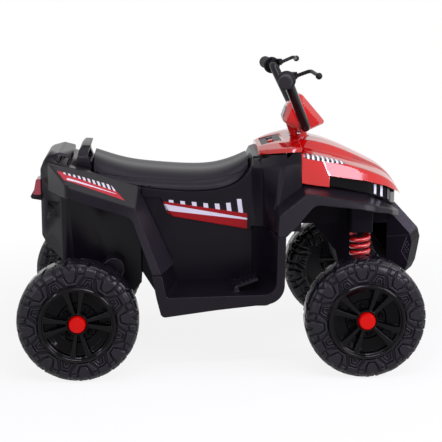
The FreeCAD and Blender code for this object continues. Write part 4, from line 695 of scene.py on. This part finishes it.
def dull_low_faces(piece, share, finish):
    """Give the faces of a closed grid a second finish where their corners' mean share of height is low."""
    mean = sum(np.roll(share, (-a, -b), (0, 1)) for a in (0, 1) for b in (0, 1)) / 4
    piece.data.materials.append(finish)
    piece.data.polygons.foreach_set("material_index", (mean < 0.5).astype(np.int32).ravel())


def tyre(node, side_name, end):
    """Closed ring: the section with its relief raised along the normal, and a plain wall inside it; dull down
    in the grooves and painted darker there, a painted shade."""
    side = SIDES[side_name]
    across, radius, normal_across, normal_out = tyre_section()
    angle = np.linspace(0, 2 * math.pi, TURN_STEPS, endpoint=False)[:, None]
    on_crown = np.clip((radius - 137.6) / 2.0, 0, 1)
    relief = side_wall_relief(angle, radius) * (1 - on_crown) + crown_relief(angle, across) * on_crown
    skin_across = across + normal_across * relief
    skin_radius = radius + normal_out * relief
    inside_across = np.array([43.0, 42.0, 24.0, -24.0, -42.0, -43.0])
    inside_radius = np.array([87.0, 122.0, 134.0, 134.0, 122.0, 87.0])
    full = np.ones_like(angle)
    all_across = np.hstack([skin_across, full * inside_across])
    all_radius = np.hstack([skin_radius, full * inside_radius])
    points = wheel_points(angle, all_across, all_radius, side, AXLE_X[end])
    piece = grid_mesh(f"{side_name}_{end}_tyre", points[::-side], wrap_u=True, wrap_v=True)
    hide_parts(node)
    settle(piece, node)
    # Painted shade: the faces down in the grooves take the darker, duller copy of the wheel plastic.
    dull_low_faces(piece, np.hstack([relief / 3.0, full * np.zeros(6)])[::-side], SHADED_GROOVES)


def wheel_core(side_name, end):
    """Barrel, web and hub behind the cover: one closed profile turned round the axle."""
    side = SIDES[side_name]
    dog = 14.0 if end == "rear" else 0.0
    profile = np.array([
        (6.1, -22), (86, -22), (86, -47), (90, -49), (92, -46), (92, 36.5), (100, 42), (100, 46), (86, 46),
        (86, 36.5), (86, -18), (24, -18), (24, 50.5), (16, 50.5), (16, 50.5 + dog), (6.1, 50.5 + dog)])
    angle = np.linspace(0, 2 * math.pi, 96, endpoint=False)[:, None]
    full = np.ones_like(angle)
    points = wheel_points(angle, full * profile[:, 1], full * profile[:, 0], side, AXLE_X[end])
    piece = grid_mesh(f"{side_name}_{end}_wheel_core", points[::-side], wrap_u=True, wrap_v=True)
    piece.data.set_sharp_from_angle(angle=math.radians(32))
    return piece


def cover_height(angle, radius):
    """Height out from mid wheel of the cover's face: a lipped ring, a dish that sinks in two steps, four pairs
    of spokes that part on their way out to the ring, four ringed bolt heads and the boss round the cap. A form
    stands where the distance to its outline is negative, and a spoke's top is ridged along its middle."""
    quarter = (angle / (math.pi / 2) + 0.5) % 1.0 - 0.5
    turn = quarter * math.pi / 2
    lean = np.abs(turn) - SPOKE_LEAN
    beside, up = radius * np.sin(lean), radius * np.cos(lean)
    spoke = np.abs(beside) - np.interp(up, (22, 60, 80), (4.0, 6.0, 8.5))
    spoke_top = 44.5 + (radius - 16.5) * 0.132 - 0.22 * np.abs(beside)
    floor = np.interp(radius, (22, 46, 49, 68, 77), (DISH_FLOOR, DISH_FLOOR, 30.5, 33.0, 37.5))
    bolt_turn = turn - np.sign(turn) * math.pi / 4
    bolt = np.hypot(radius * np.sin(bolt_turn), radius * np.cos(bolt_turn) - BOLT_RING)
    face = floor + (spoke_top - floor) * flank(spoke, 1.2)
    collar, head = flank(bolt - 6.5, 1.0), flank(bolt - 2.6, 0.8)
    face = np.maximum(face, DISH_FLOOR + 5.0 * collar - 3.0 * flank(bolt - 5.0, 0.8) + 2.0 * head)
    ring = np.interp(radius, (77.2, 78.4, 79.0, 81.8, 82.4, 83.0, 85.4, 87.6, 88.2, 91.4, 92.0),
                     (26.3, 48.0, 50.6, 52.6, 53.0, 55.8, 57.6, 58.0, 57.6, 55.3, 51.0))
    boss = np.interp(radius, (22.4, 23.2, 25.4, 26.4, 28.0), (47.6, 48.5, 48.5, 47.2, 26.3))
    return reduce(np.maximum, [face, ring, boss])


def wheel_cover(node, side_name, end):
    """Gloss cover: its face as a height over angle and radius, closed by a plain back. Its dish is duller."""
    side = SIDES[side_name]
    boss, spokes, ring = ((COVER_IN, 28.4, 12), (29, 76.5, 50), (77.2, COVER_OUT, 28))
    radii = np.concatenate([np.linspace(*stations) for stations in (boss, spokes, ring)])
    angle = np.linspace(0, 2 * math.pi, TURN_STEPS, endpoint=False)[:, None]
    face = cover_height(angle - COVER_TURN[end], radii[None, :] + 0 * angle)
    back_radius = np.array([COVER_OUT, 85.6, 85.6, COVER_IN])
    back_height = np.array([50.6, 50.6, 22.3, 22.3])
    full = np.ones_like(angle)
    out = np.hstack([face, full * back_height])
    radius = np.hstack([full * radii, full * back_radius])
    points = wheel_points(angle, -out, radius, side, AXLE_X[end])
    piece = grid_mesh(f"{side_name}_{end}_cover", points[::side], wrap_u=True, wrap_v=True)
    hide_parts(node)
    settle(piece, node)
    dull_low_faces(piece, (out[::side] > DISH_EDGE) * 1.0, DISH_ABS)


def wheels():
    """Tyre, core and cover of all four wheels, in place of the CAD wheels and covers."""
    for side_name in SIDES:
        for end in AXLE_X:
            node = f"{side_name}_{end}_wheel"
            tyre(node, side_name, end)
            settle(wheel_core(side_name, end), node)
            wheel_cover(node + "_cover", side_name, end)


camera()
studio()
wheels()

EDGE_WIDTH = {
    "battery": 1.5, "control_box": 1.5, "cowl_plate": 0.5, "dash_plate": 0.5, "direction_rocker": 0.5,
    "foot_pedal": 1.0, "headlamp_lenses": 0.6, "power_button": 0.5, "rear_fender": 2.0, "front_fender": 2.0,
    "gearbox": 1.5, "seat": 2.0, "tail_lamps": 1.2, "under_tray": 1.2, "front_carrier": 1.2,
    "front_bumper": 1.2, "center_body": 1.2, "steering_cowl": 1.2, "knuckle": 0.8, "hub_cap": 0.8,
    "grab_handle": 0.6, "lever": 0.5}
NEW_SHAPES = {f"{side}_{end}_{part}" for side in SIDES for end in AXLE_X for part in ("wheel", "wheel_cover")}
for node in sorted(set(SLOT_OF) - NEW_SHAPES):
    plain = node.removeprefix("right_").removeprefix("left_")
    plain = plain.removeprefix("front_").removeprefix("rear_") if "hub_cap" in plain else plain
    skin = dress(node, EDGE_WIDTH.get(plain, 0.0))
    if plain == "spring":
        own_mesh(skin)
